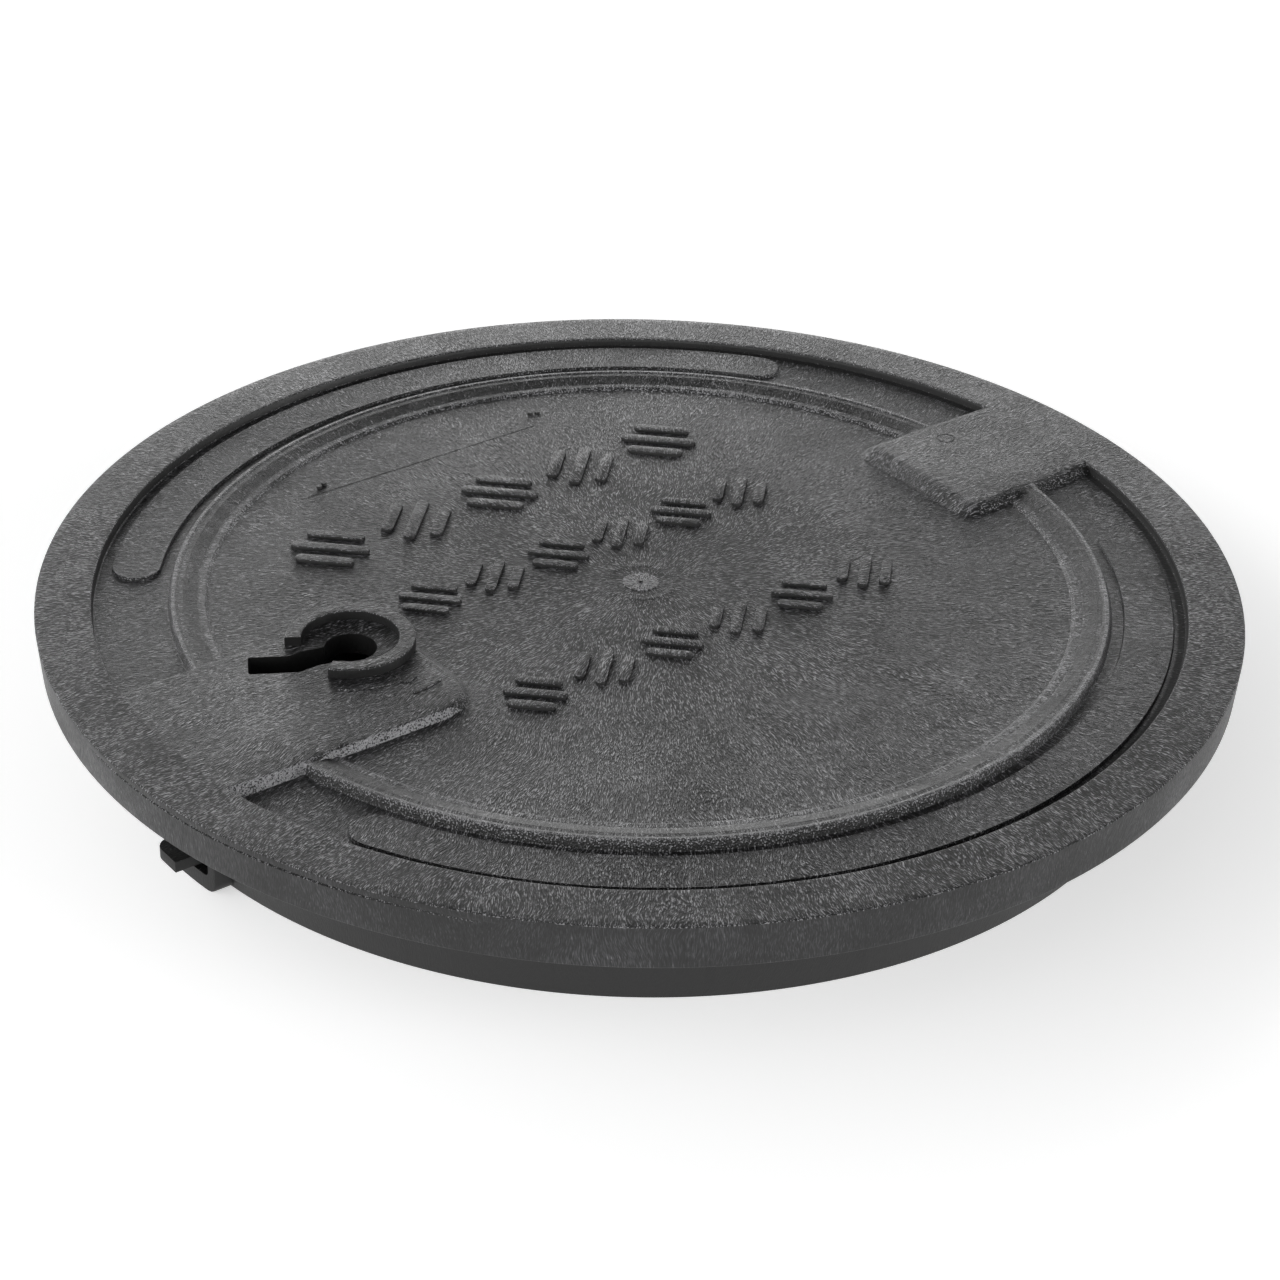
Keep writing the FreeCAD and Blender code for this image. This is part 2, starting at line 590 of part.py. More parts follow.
def parts():
    pieces = {
        "cover": cover(),
        "lock_bolt": lock_bolt(),
        "bolt_carrier": bolt_carrier(),
        "bolt_spring": bolt_spring(),
    }
    for number, (x, y) in enumerate(SCREW_PLACES, 1):
        pieces["carrier_screw_%d" % number] = carrier_screw(x, y)
    return pieces


os.makedirs("parts", exist_ok=True)
for name, shape in parts().items():
    print(name, "valid", shape.isValid(), "solids", len(shape.Solids), "cm3 %.1f" % (shape.Volume / 1000))
    shape.exportStep("parts/%s.step" % name)
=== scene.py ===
import math

import bmesh
import bpy
import numpy as np
from mathutils import Matrix, Vector
from mathutils.geometry import delaunay_2d_cdt


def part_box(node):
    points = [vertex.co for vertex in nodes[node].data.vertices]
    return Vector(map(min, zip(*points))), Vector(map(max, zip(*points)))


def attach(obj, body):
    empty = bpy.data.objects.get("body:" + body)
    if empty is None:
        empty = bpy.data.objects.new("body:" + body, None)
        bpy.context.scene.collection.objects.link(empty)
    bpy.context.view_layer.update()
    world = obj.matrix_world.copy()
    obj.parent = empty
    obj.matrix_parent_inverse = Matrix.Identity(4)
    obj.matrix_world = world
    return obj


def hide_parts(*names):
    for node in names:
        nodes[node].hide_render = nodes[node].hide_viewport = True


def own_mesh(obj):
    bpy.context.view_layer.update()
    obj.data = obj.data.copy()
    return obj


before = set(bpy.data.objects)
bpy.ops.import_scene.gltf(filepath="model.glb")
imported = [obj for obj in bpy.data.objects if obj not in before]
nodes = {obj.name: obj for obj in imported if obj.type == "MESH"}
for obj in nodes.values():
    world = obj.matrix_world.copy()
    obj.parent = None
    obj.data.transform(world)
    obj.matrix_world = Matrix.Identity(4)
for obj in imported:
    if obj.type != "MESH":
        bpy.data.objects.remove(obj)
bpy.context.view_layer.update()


# Cover
# One injection moulding of structural polyolefin foam: a flat plate with a bead ring and a
# channel, a hollow rim, two pads that bridge the channel, a tapered skirt and a web of ribs
# underneath. It is modelled here again, in mm, with the roots and edges rounded as its mould is.
MM = 0.001
TOP_Z = 74.0
DISC_Z = 68.6
CHANNEL_Z = 67.5
RIM_RADIUS = 336.5
RIM_INNER_RADIUS = 305.6
RIM_EDGE = 1.0
BEAD_INNER_RADIUS = 239.0
BEAD_OUTER_RADIUS = 263.2
BEAD_TOP_Z = 72.6
BEAD_STEP_HEIGHT = 1.5
BEAD_SHOULDER_DROP = 0.4
BEAD_CREST_RISE = 0.2
GATE_RADIUS = 10.0
GATE_HEIGHT = 0.35
GATE_RING_RADIUS = 19.0
GATE_RING_HALF_WIDTH = 0.8
GATE_RING_HEIGHT = 0.15
ROUNDING_STEPS = 4


def rounded(corners, closed=False):
    # points through corners (a, b, radius), each corner drawn as an arc of its radius
    points = []
    count = len(corners)
    for k, (a, b, radius) in enumerate(corners):
        corner = Vector((a, b))
        if radius == 0 or (not closed and k in (0, count - 1)):
            points.append((a, b))
            continue
        before = (Vector(corners[k - 1][:2]) - corner).normalized()
        after = (Vector(corners[(k + 1) % count][:2]) - corner).normalized()
        half = before.angle(after) / 2
        centre = corner + (before + after).normalized() * (radius / math.sin(half))
        start = corner + before * (radius / math.tan(half)) - centre
        end = corner + after * (radius / math.tan(half)) - centre
        turn = start.angle_signed(end)
        for step in range(ROUNDING_STEPS + 1):
            angle = -turn * step / ROUNDING_STEPS
            swung = Vector((start.x * math.cos(angle) - start.y * math.sin(angle),
                            start.x * math.sin(angle) + start.y * math.cos(angle)))
            points.append(tuple(centre + swung))
    return points


# The half section of the upper face, from the gate mark at the centre out to the rim's edge. The
# bead climbs from the disc in a low step, a slope, a shoulder and a crest.
upper_section = rounded((
    (0, DISC_Z + GATE_HEIGHT, 0),
    (GATE_RADIUS, DISC_Z + GATE_HEIGHT, 0.3),
    (GATE_RADIUS + 0.5, DISC_Z, 0.3),
    (GATE_RING_RADIUS - GATE_RING_HALF_WIDTH, DISC_Z, 0),
    (GATE_RING_RADIUS, DISC_Z + GATE_RING_HEIGHT, 0),
    (GATE_RING_RADIUS + GATE_RING_HALF_WIDTH, DISC_Z, 0),
    (BEAD_INNER_RADIUS + 2.4, DISC_Z, 0.8),
    (BEAD_INNER_RADIUS + 4.6, DISC_Z + BEAD_STEP_HEIGHT, 0.8),
    (BEAD_INNER_RADIUS + 8.6, DISC_Z + BEAD_STEP_HEIGHT, 1.0),
    (BEAD_OUTER_RADIUS - 7.8, BEAD_TOP_Z - BEAD_SHOULDER_DROP, 1.0),
    (BEAD_OUTER_RADIUS - 4.8, BEAD_TOP_Z - BEAD_SHOULDER_DROP, 0.8),
    (BEAD_OUTER_RADIUS - 3.0, BEAD_TOP_Z + BEAD_CREST_RISE, 0.9),
    (BEAD_OUTER_RADIUS - 1.1, BEAD_TOP_Z + BEAD_CREST_RISE, 0.7),
    (BEAD_OUTER_RADIUS + 0.6, CHANNEL_Z, 0.8),
    (RIM_INNER_RADIUS - 0.8, CHANNEL_Z, 1.0),
    (RIM_INNER_RADIUS, TOP_Z, 0.8),
    (RIM_RADIUS - RIM_EDGE, TOP_Z, 0),
))
section_radii = np.array([p[0] for p in upper_section])
section_levels = np.array([p[1] for p in upper_section])

# The channel floor isn't quite level, it rises to one side. On it lie two raised arcs, each given
# by its middle angle and half span in degrees, its height, and how much it follows the floor. The
# second stands out most where the floor is low.
FLOOR_LIFT = 0.65
FLOOR_TILT = 1.2
FLOOR_HIGH_SIDE = math.radians(52.0)
ARC_INNER_RADIUS = 270.5
ARC_OUTER_RADIUS = 298.0
ARC_EDGE_DRAFT = 0.35
ARCS = ((90.0, 54.8, 1.9, 0.0), (270.0, 67.1, 1.3, 1.3))
arc_centre_radius = (ARC_INNER_RADIUS + ARC_OUTER_RADIUS) / 2
arc_half_width = (ARC_OUTER_RADIUS - ARC_INNER_RADIUS) / 2


def arc_ends(middle, half_span):
    # angles of the two round ends' centres, in radians
    reach = math.radians(half_span) - arc_half_width / arc_centre_radius
    return math.radians(middle) - reach, math.radians(middle) + reach


def arc_rise(x, y):
    # height of the raised arcs over the channel floor
    rise = np.zeros(x.shape)
    radius = np.hypot(x, y)
    bearing = np.arctan2(y, x)
    for middle, half_span, height, follow in ARCS:
        first, last = arc_ends(middle, half_span)
        turn = (bearing - math.radians(middle) + math.pi) % (2 * math.pi) - math.pi
        reach = (last - first) / 2
        inside = arc_half_width - np.abs(radius - arc_centre_radius)
        end_angle = math.radians(middle) + np.clip(turn, -reach, reach)
        from_end = np.hypot(x - arc_centre_radius * np.cos(end_angle),
                            y - arc_centre_radius * np.sin(end_angle))
        depth = np.where(np.abs(turn) <= reach, inside, arc_half_width - from_end)
        height = height - follow * np.cos(bearing - FLOOR_HIGH_SIDE)
        rise = rise + height * np.clip(0.5 + depth / (2 * ARC_EDGE_DRAFT), 0, 1)
    return rise


def floor_lift(x, y, level):
    # how far the channel floor stands over its nominal level, fading up the walls on both sides
    radius = np.hypot(x, y)
    wall_top = np.where(radius < arc_centre_radius, BEAD_TOP_Z, TOP_Z)
    share = np.clip((wall_top - level) / (wall_top - CHANNEL_Z), 0, 1)
    in_channel = (radius > BEAD_OUTER_RADIUS - 1.0) & (radius < RIM_INNER_RADIUS + 0.1)
    tilt = FLOOR_TILT * np.cos(np.arctan2(y, x) - FLOOR_HIGH_SIDE)
    return np.where(in_channel, share, 0) * (FLOOR_LIFT + tilt)


# Pads that bridge the channel level with the rim: the lock pad towards -X, the plain pad towards
# +X. Each is given by its top edge and by how far its end and its two sides run out to their foot.
# A pad is slightly crowned along its near side.
PAD_ROOT_ROUNDING = 0.9
PAD_FOOT_DEPTH = 9.0
PAD_CROWN = 0.9
PAD_CROWN_WIDTH = 20.0
LOCK_PAD = {"side": -1, "inner": 148.0, "half_width": 54.5, "corner": 24.0, "end_run": 7.0,
            "near_run": 3.0, "far_run": 7.0, "edge": 1.6}
PLAIN_PAD = {"side": 1, "inner": 209.0, "half_width": 45.0, "corner": 4.0, "end_run": 9.0,
             "near_run": 8.0, "far_run": 7.5, "edge": 2.8}
PADS = (LOCK_PAD, PLAIN_PAD)


def smooth_step(value):
    # eases from 0 to 1
    value = np.clip(value, 0, 1)
    return value * value * (3 - 2 * value)


def pad_fall(x, y, pad):
    # 0 along a pad's top edge, 1 along its foot, less than 0 inside
    corner = pad["corner"]
    ahead = pad["inner"] + corner - pad["side"] * x
    aside = np.abs(y) - (pad["half_width"] - corner)
    run = np.where(y < 0, pad["near_run"], pad["far_run"])
    at_end = (ahead - corner) / pad["end_run"]
    at_side = (aside - corner) / run
    turn = np.arctan2(np.maximum(aside, 1e-6), np.maximum(ahead, 1e-6)) / (math.pi / 2)
    corner_run = pad["end_run"] + (run - pad["end_run"]) * smooth_step(turn)
    round_part = (np.hypot(ahead, aside) - corner) / corner_run
    return np.where((ahead > 0) & (aside > 0), round_part, np.maximum(at_end, at_side))


def soft_min(a, b, width):
    # the lower of two heights, rounded off where they meet
    mix = np.clip(1 - np.abs(a - b) / width, 0, 1)
    return np.minimum(a, b) - mix * mix * width / 4


def soft_max(a, b, width):
    return -soft_min(-a, -b, width)


def upper_face(x, y):
    # height of the upper face over the plan
    radius = np.hypot(x, y)
    level = np.interp(radius, section_radii, section_levels)
    level = level + floor_lift(x, y, level) + arc_rise(x, y)
    for pad in PADS:
        near_side = np.clip(1 + (-pad["half_width"] - y) / PAD_CROWN_WIDTH, 0, 1)
        from_rim = np.clip((RIM_INNER_RADIUS - radius) / PAD_CROWN_WIDTH, 0, 1)
        top = TOP_Z - PAD_CROWN * near_side ** 2 * from_rim
        slope = TOP_Z - (TOP_Z - CHANNEL_Z) * pad_fall(x, y, pad)
        slope = np.maximum(soft_min(slope, top, pad["edge"]), CHANNEL_Z - PAD_FOOT_DEPTH)
        level = soft_max(level, slope, PAD_ROOT_ROUNDING)
    return np.minimum(level, TOP_Z)


def pad_outline(pad, fall, spacing):
    # points at one fall of a pad, along its two sides and its rounded inner end
    corner, inner, half = pad["corner"], pad["inner"], pad["half_width"]
    end_run = pad["end_run"]
    points = []
    for sign, run in ((-1, pad["near_run"]), (1, pad["far_run"])):
        reach = max(corner + fall * end_run, 1.0)
        steps = max(2, int(reach * math.pi / 2 / spacing) + 1)
        for k in range(steps + 1):
            angle = math.pi / 2 * k / steps
            out = corner + fall * (end_run + (run - end_run) * float(smooth_step(k / steps)))
            points.append((inner + corner - out * math.cos(angle),
                           sign * (half - corner + out * math.sin(angle))))
        along_side = np.arange(inner + corner + spacing, RIM_INNER_RADIUS, spacing)
        points += [(a, sign * (half + fall * run)) for a in along_side]
        along_end = np.arange(spacing / 2, half - corner, spacing)
        points += [(inner - fall * end_run, sign * b) for b in along_end]
    return [(pad["side"] * a, b) for a, b in points]


# Plan points of the upper face: rings of the turned section, closer rings where the bead and the
# rim's wall run up to a pad, curves along the pads, a grid on them, and curves along the arcs
TURN_STEPS = 400
DISC_RINGS = np.arange(28.0, 232.0, 9.0)
CHANNEL_RINGS = (278.0, 284.25, 291.0)
RIM_RINGS = (309.0, 314.0, 320.0, 326.0, 331.0)
FINE_SPACING = 1.1
FINE_ZONES = ((BEAD_INNER_RADIUS - 5, BEAD_OUTER_RADIUS + 2.2),
              (RIM_INNER_RADIUS - 2, RIM_INNER_RADIUS + 1))
PAD_FALLS = (-0.55, -0.4, -0.28, -0.18, -0.1, -0.03, 0.04, 0.12, 0.22, 0.36, 0.5, 0.64, 0.76, 0.86,
             0.94, 1.0, 1.06, 1.14, 1.26, 1.42)
PAD_OUTER_FALL = PAD_FALLS[-1] + 0.1
PAD_INNER_FALL = -0.6
PAD_GRID = 5.0
PAD_GRID_START = 7.0
PAD_GRID_MARGIN = 4.0
PAD_GRID_FALL = -0.75
ARC_OFFSETS = (-1.2, -0.7, -0.35, -0.12, 0.12, 0.35, 0.7, 1.2)
ARC_END_STEPS = 40
PLAN_TOLERANCE = 1e-4


def ring_points(radius, steps):
    angles = np.arange(steps) * 2 * math.pi / steps
    return np.stack([radius * np.cos(angles), radius * np.sin(angles)], 1)


def in_zone(radius):
    return sum((radius > low) & (radius < high) for low, high in FINE_ZONES) > 0


def near_pad(points, low, high):
    near = np.zeros(len(points), bool)
    for pad in PADS:
        fall = pad_fall(points[:, 0], points[:, 1], pad)
        near |= (fall > low) & (fall < high)
    return near


fine_rings = sorted(set(np.round(section_radii[(section_radii > 0.5)], 3)))
rings = [np.zeros((1, 2))]
for radius in (*fine_rings, *DISC_RINGS, *CHANNEL_RINGS, *RIM_RINGS):
    # smaller rings get fewer points
    share = 1 if radius > 150 else 2 if radius > 60 else 8
    rings.append(ring_points(radius, TURN_STEPS // share))
rings = np.concatenate(rings)
inside_rim = np.hypot(rings[:, 0], rings[:, 1]) < RIM_INNER_RADIUS + 1.0
groups = [rings[~(near_pad(rings, -math.inf, PAD_OUTER_FALL) & inside_rim)]]
for radius in fine_rings:
    if in_zone(radius):
        points = ring_points(radius, int(2 * math.pi * radius / FINE_SPACING))
        groups.append(points[near_pad(points, PAD_INNER_FALL, PAD_OUTER_FALL)])
for pad in PADS:
    for fall in PAD_FALLS:
        points = np.array(pad_outline(pad, fall, FINE_SPACING))
        distance = np.hypot(points[:, 0], points[:, 1])
        groups.append(points[~in_zone(distance) & (distance < RIM_INNER_RADIUS - 2)])
    along = np.arange(pad["inner"] + PAD_GRID_START, RIM_INNER_RADIUS - PAD_GRID_MARGIN, PAD_GRID)
    half = pad["half_width"] - PAD_GRID_MARGIN
    across = np.arange(-half, half, PAD_GRID)
    grid = np.array([(pad["side"] * a, b) for a in along for b in across])
    groups.append(grid[pad_fall(grid[:, 0], grid[:, 1], pad) < PAD_GRID_FALL])
for middle, half_span, _, _ in ARCS:
    first, last = arc_ends(middle, half_span)
    steps = int(TURN_STEPS * (last - first) / (2 * math.pi))
    span = first + (last - first) * np.arange(steps + 1) / steps
    for offset in ARC_OFFSETS:
        for radius in (ARC_INNER_RADIUS + offset, ARC_OUTER_RADIUS - offset):
            groups.append(np.stack([radius * np.cos(span), radius * np.sin(span)], 1))
        reach = arc_half_width - offset
        turn = np.arange(1, ARC_END_STEPS) / ARC_END_STEPS * math.pi
        out = arc_centre_radius + reach * np.cos(turn)
        for end, way in ((first, -1), (last, 1)):
            along = way * reach * np.sin(turn)
            groups.append(np.stack([out * math.cos(end) - along * math.sin(end),
                                    out * math.sin(end) + along * math.cos(end)], 1))

plan = np.concatenate(groups)
plan = plan[np.lexsort((plan[:, 1], plan[:, 0]))]
flat_points, _, flat_faces, *_ = delaunay_2d_cdt([Vector(p) for p in plan], [], [], 0,
                                                 PLAN_TOLERANCE)
flat_points = np.array([tuple(p) for p in flat_points])
heights = upper_face(flat_points[:, 0], flat_points[:, 1])
vertices = [(x, y, z) for (x, y), z in zip(flat_points, heights)]
triangles = [tuple(face) for face in flat_faces]

# The rest of the turned form, from the rim's edge down its drafted wall, under the flange, down
# the skirt and up inside it. A parting groove shows along the left of the wall and fades out
# towards the front.
RIM_FOOT_Z = 48.6
RIM_DRAFT = 2.0
RIM_WALL = 9.0
FLANGE_UNDERSIDE_Z = 66.0
PLATE_UNDERSIDE_Z = 60.0
SKIRT_FOOT_RADIUS = 294.0
SKIRT_TAPER = 9.0 / RIM_FOOT_Z
SKIRT_WALL = 8.0
GROOVE_Z = 69.3
GROOVE_HALF = 0.8
GROOVE_DEPTH = 1.3
GROOVE_SPAN = (math.radians(176), math.radians(222))
GROOVE_FADES = (0.1, 0.3)
GROOVE_LEVELS = [GROOVE_Z + GROOVE_HALF * share for share in (1, 0.5, 0, -0.5, -1)]
WALL_LEVELS = [64.0, 58.0, 53.0]
skirt_at_flange = SKIRT_FOOT_RADIUS + SKIRT_TAPER * FLANGE_UNDERSIDE_Z
skirt_at_plate = SKIRT_FOOT_RADIUS + SKIRT_TAPER * PLATE_UNDERSIDE_Z - SKIRT_WALL
rim_cavity_radius = RIM_RADIUS - RIM_DRAFT - RIM_WALL
lower_section = rounded((
    (RIM_RADIUS - 6, TOP_Z, 0),
    (RIM_RADIUS, TOP_Z, RIM_EDGE),
    (RIM_RADIUS - RIM_DRAFT, RIM_FOOT_Z, 0.8),
    (rim_cavity_radius, RIM_FOOT_Z, 0.8),
    (rim_cavity_radius, FLANGE_UNDERSIDE_Z, 1.5),
    (skirt_at_flange, FLANGE_UNDERSIDE_Z, 1.5),
    (SKIRT_FOOT_RADIUS, 0, 1.0),
    (SKIRT_FOOT_RADIUS - SKIRT_WALL, 0, 1.0),
    (skirt_at_plate, PLATE_UNDERSIDE_Z, 2.0),
    (0, PLATE_UNDERSIDE_Z, 0),
))[1:-1]
wall_slope = RIM_DRAFT / (TOP_Z - RIM_FOOT_Z)
wall = [(RIM_RADIUS - wall_slope * (TOP_Z - z), z) for z in GROOVE_LEVELS + WALL_LEVELS]
wall_start = ROUNDING_STEPS + 1
lower_section[wall_start:wall_start] = wall

outer_radius = RIM_RADIUS - RIM_EDGE
ring = [k for k, p in enumerate(flat_points) if abs(math.hypot(*p) - outer_radius) < 1e-3]
ring.sort(key=lambda k: math.atan2(flat_points[k][1], flat_points[k][0]) % (2 * math.pi))
for radius, level in lower_section[1:]:
    start = len(vertices)
    groove = max(0.0, 1 - abs(level - GROOVE_Z) / GROOVE_HALF) * GROOVE_DEPTH
    for k in range(TURN_STEPS):
        angle = 2 * math.pi * k / TURN_STEPS
        fade_in = max(0.0, (angle - GROOVE_SPAN[0]) / GROOVE_FADES[0])
        fade_out = max(0.0, (GROOVE_SPAN[1] - angle) / GROOVE_FADES[1])
        out = radius - groove * min(1.0, fade_in, fade_out)
        vertices.append((out * math.cos(angle), out * math.sin(angle), level))
    for k in range(TURN_STEPS):
        after = (k + 1) % TURN_STEPS
        triangles.append((ring[k], start + k, start + after, ring[after]))
    ring = list(range(start, start + TURN_STEPS))
triangles.append(tuple(ring[::-1]))


def new_piece(name, points, faces):
    mesh = bpy.data.meshes.new(name)
    mesh.from_pydata([(x * MM, y * MM, z * MM) for x, y, z in points], [], faces)
    mesh.update()
    piece = bpy.data.objects.new(name, mesh)
    bpy.context.scene.collection.objects.link(piece)
    return piece


def apply_modifiers(piece):
    shaped = piece.evaluated_get(bpy.context.evaluated_depsgraph_get())
    used = piece.data
    piece.data = bpy.data.meshes.new_from_object(shaped)
    piece.modifiers.clear()
    bpy.data.meshes.remove(used)
    return piece


def combine(piece, tool, operation):
    # joins the tool to the piece, or cuts it away, and takes the tool out of the scene
    modifier = piece.modifiers.new(operation, "BOOLEAN")
    modifier.operation = operation
    modifier.solver = "MANIFOLD"
    modifier.object = tool
    apply_modifiers(piece)
    bpy.data.meshes.remove(tool.data)


def circle(radius, x, y, steps=48):
    turns = [2 * math.pi * k / steps for k in range(steps)]
    return [(x + radius * math.cos(turn), y + radius * math.sin(turn)) for turn in turns]


def prism(outline, z0, z1, top_outline=None):
    # closed block over a plan outline given anticlockwise; the top may have an outline of its own
    count = len(outline)
    points = [(x, y, z0) for x, y in outline] + [(x, y, z1) for x, y in (top_outline or outline)]
    faces = [tuple(range(count))[::-1], tuple(range(count, 2 * count))]
    faces += [(k, (k + 1) % count, count + (k + 1) % count, count + k) for k in range(count)]
    return new_piece("tool", points, faces)


def bar(x0, x1, y0, y1, z0, z1):
    return prism([(x0, y0), (x1, y0), (x1, y1), (x0, y1)], z0, z1)


def spun(piece, degrees):
    # turns a piece's mesh about the cover's axis
    turn = math.radians(degrees)
    for vertex in piece.data.vertices:
        x, y, z = vertex.co
        vertex.co = (x * math.cos(turn) - y * math.sin(turn),
                     x * math.sin(turn) + y * math.cos(turn), z)
    return piece


def ring_sector(section, start, sweep, x, y, steps):
    # closed block of a section (radius, height), swept about a vertical axis through (x, y)
    count = len(section)
    points = []
    for k in range(steps + 1):
        angle = math.radians(start + sweep * k / steps)
        points += [(x + r * math.cos(angle), y + r * math.sin(angle), z) for r, z in section]
    faces = [tuple(range(count)), tuple(range(steps * count, (steps + 1) * count))[::-1]]
    for k in range(steps):
        for j in range(count):
            a, b = k * count + j, k * count + (j + 1) % count
            faces.append((b, a, a + count, b + count))
    return new_piece("tool", points, faces)


cover = new_piece("cover_moulding", vertices, triangles)

# Housing on the skirt, where the bolt comes out through a window
BOLT_Y = -18.4
HOUSING_FACE_X = -305.5
HOUSING_HALF_WIDTH = 22.5
HOUSING_WALL = 5.0
HOUSING_CORNER = 7.0
HOUSING_EDGE = 2.0
HOUSING_ROOF_Z = 42.0
WINDOW_HALF_WIDTH = 16.6
WINDOW_CORNER = 3.0
WINDOW_LEVELS = (9.5, 26.0)
OVERRUN = 1.0


def bolt_way_block(half_width, corner, x0, x1, z0, z1):
    # block along the bolt's way, with rounded lower edges
    outline = rounded((
        (BOLT_Y - half_width, z0, corner),
        (BOLT_Y + half_width, z0, corner),
        (BOLT_Y + half_width, z1, 0),
        (BOLT_Y - half_width, z1, 0),
    ), closed=True)
    count = len(outline)
    points = [(x, y, z) for x in (x0, x1) for y, z in outline]
    faces = [tuple(range(count))[::-1], tuple(range(count, 2 * count))]
    faces += [(k, (k + 1) % count, count + (k + 1) % count, count + k) for k in range(count)]
    return new_piece("tool", points, faces)


def bevelled(piece, width, angle=35):
    # rounds the edges that are sharper than the angle
    modifier = piece.modifiers.new("edge", "BEVEL")
    modifier.width = width * MM
    modifier.segments = 3
    modifier.limit_method = "ANGLE"
    modifier.angle_limit = math.radians(angle)
    return apply_modifiers(piece)


housing_top = FLANGE_UNDERSIDE_Z + OVERRUN
housing = bolt_way_block(HOUSING_HALF_WIDTH, HOUSING_CORNER, HOUSING_FACE_X - OVERRUN,
                         -(SKIRT_FOOT_RADIUS - SKIRT_WALL / 2), 0, housing_top)
face_cylinder = prism(circle(-HOUSING_FACE_X, 0, 0, 300), -OVERRUN, housing_top + OVERRUN)
combine(housing, face_cylinder, "INTERSECT")
combine(cover, bevelled(housing, HOUSING_EDGE), "UNION")
hollow_half = HOUSING_HALF_WIDTH - HOUSING_WALL
hollow = bar(HOUSING_FACE_X + SKIRT_WALL, -(SKIRT_FOOT_RADIUS - 3 * SKIRT_WALL),
             BOLT_Y - hollow_half, BOLT_Y + hollow_half, -OVERRUN, HOUSING_ROOF_Z)
combine(cover, hollow, "DIFFERENCE")
window = bolt_way_block(WINDOW_HALF_WIDTH, WINDOW_CORNER, HOUSING_FACE_X - OVERRUN,
                        HOUSING_FACE_X + SKIRT_WALL + OVERRUN, *WINDOW_LEVELS)
combine(cover, window, "DIFFERENCE")

# Underneath: a hub and radial ribs, left out where the bay of the lock has its own walls, then the
# gussets under the flange and the four bosses that take the carrier's screws
RIB_COUNT = 12
RIB_THICKNESS = 6.0
RIB_FOOT_Z = 22.0
HUB_RADIUS = 74.0
BAY_END_X = -78.0
BAY_NEAR_Y = -58.0
BAY_FAR_Y = 96.0
GUSSET_COUNT = 24
GUSSET_HALF = 2.5
GUSSET_FOOT_Z = RIM_FOOT_Z + 0.4
GUSSET_ENDS = (skirt_at_flange - 6.0, RIM_RADIUS - 6.5)
BOSS_RADIUS = 8.0
BOSS_FOOT_Z = 14.7
PILOT_RADIUS = 2.5
PILOT_DEPTH = 19.0
SCREW_PLACES = ((-268.0, 6.0), (-268.0, -42.8), (-150.0, -42.8), (-94.0, -18.4))
SLIVER = 0.01
rib_top = PLATE_UNDERSIDE_Z + OVERRUN
rib_reach = SKIRT_FOOT_RADIUS + SKIRT_TAPER * PLATE_UNDERSIDE_Z
web = prism(circle(HUB_RADIUS, 0, 0, 96), RIB_FOOT_Z, rib_top)
hub_bore = prism(circle(HUB_RADIUS - RIB_THICKNESS, 0, 0, 96), RIB_FOOT_Z - OVERRUN,
                 rib_top + OVERRUN)
combine(web, hub_bore, "DIFFERENCE")
for k in range(RIB_COUNT):
    rib = bar(HUB_RADIUS - RIB_THICKNESS / 2, rib_reach, -RIB_THICKNESS / 2, RIB_THICKNESS / 2,
              RIB_FOOT_Z, rib_top)
    combine(web, spun(rib, 360 / RIB_COUNT * k), "UNION")
bay = bar(-rib_reach - 2 * OVERRUN, BAY_END_X, BAY_NEAR_Y, BAY_FAR_Y, RIB_FOOT_Z - OVERRUN,
          rib_top + OVERRUN)
combine(web, bay, "DIFFERENCE")
bay_outer_x = BAY_END_X + RIB_THICKNESS
for wall_box in (
    (-rib_reach, bay_outer_x, BAY_NEAR_Y - RIB_THICKNESS, BAY_NEAR_Y),
    (-rib_reach, bay_outer_x, BAY_FAR_Y, BAY_FAR_Y + RIB_THICKNESS),
    (BAY_END_X, bay_outer_x, BAY_NEAR_Y - OVERRUN, BAY_FAR_Y + OVERRUN),
):
    combine(web, bar(*wall_box, RIB_FOOT_Z, rib_top), "UNION")
# the web ends in the middle of the skirt's wall, which leans
middle_of_wall = SKIRT_FOOT_RADIUS - SKIRT_WALL / 2
inside_skirt = prism(circle(middle_of_wall + SKIRT_TAPER * RIB_FOOT_Z, 0, 0, 200),
                     RIB_FOOT_Z - SLIVER, rib_top + SLIVER,
                     circle(middle_of_wall + SKIRT_TAPER * rib_top, 0, 0, 200))
combine(web, inside_skirt, "INTERSECT")
combine(cover, web, "UNION")
for k in range(GUSSET_COUNT):
    gusset = bar(*GUSSET_ENDS, -GUSSET_HALF, GUSSET_HALF, GUSSET_FOOT_Z,
                 FLANGE_UNDERSIDE_Z + OVERRUN)
    combine(cover, spun(gusset, 360 / GUSSET_COUNT * k), "UNION")
for x, y in SCREW_PLACES:
    combine(cover, prism(circle(BOSS_RADIUS, x, y), BOSS_FOOT_Z, rib_top), "UNION")
    pilot = prism(circle(PILOT_RADIUS, x, y, 24), BOSS_FOOT_Z - OVERRUN, BOSS_FOOT_Z + PILOT_DEPTH)
    combine(cover, pilot, "DIFFERENCE")

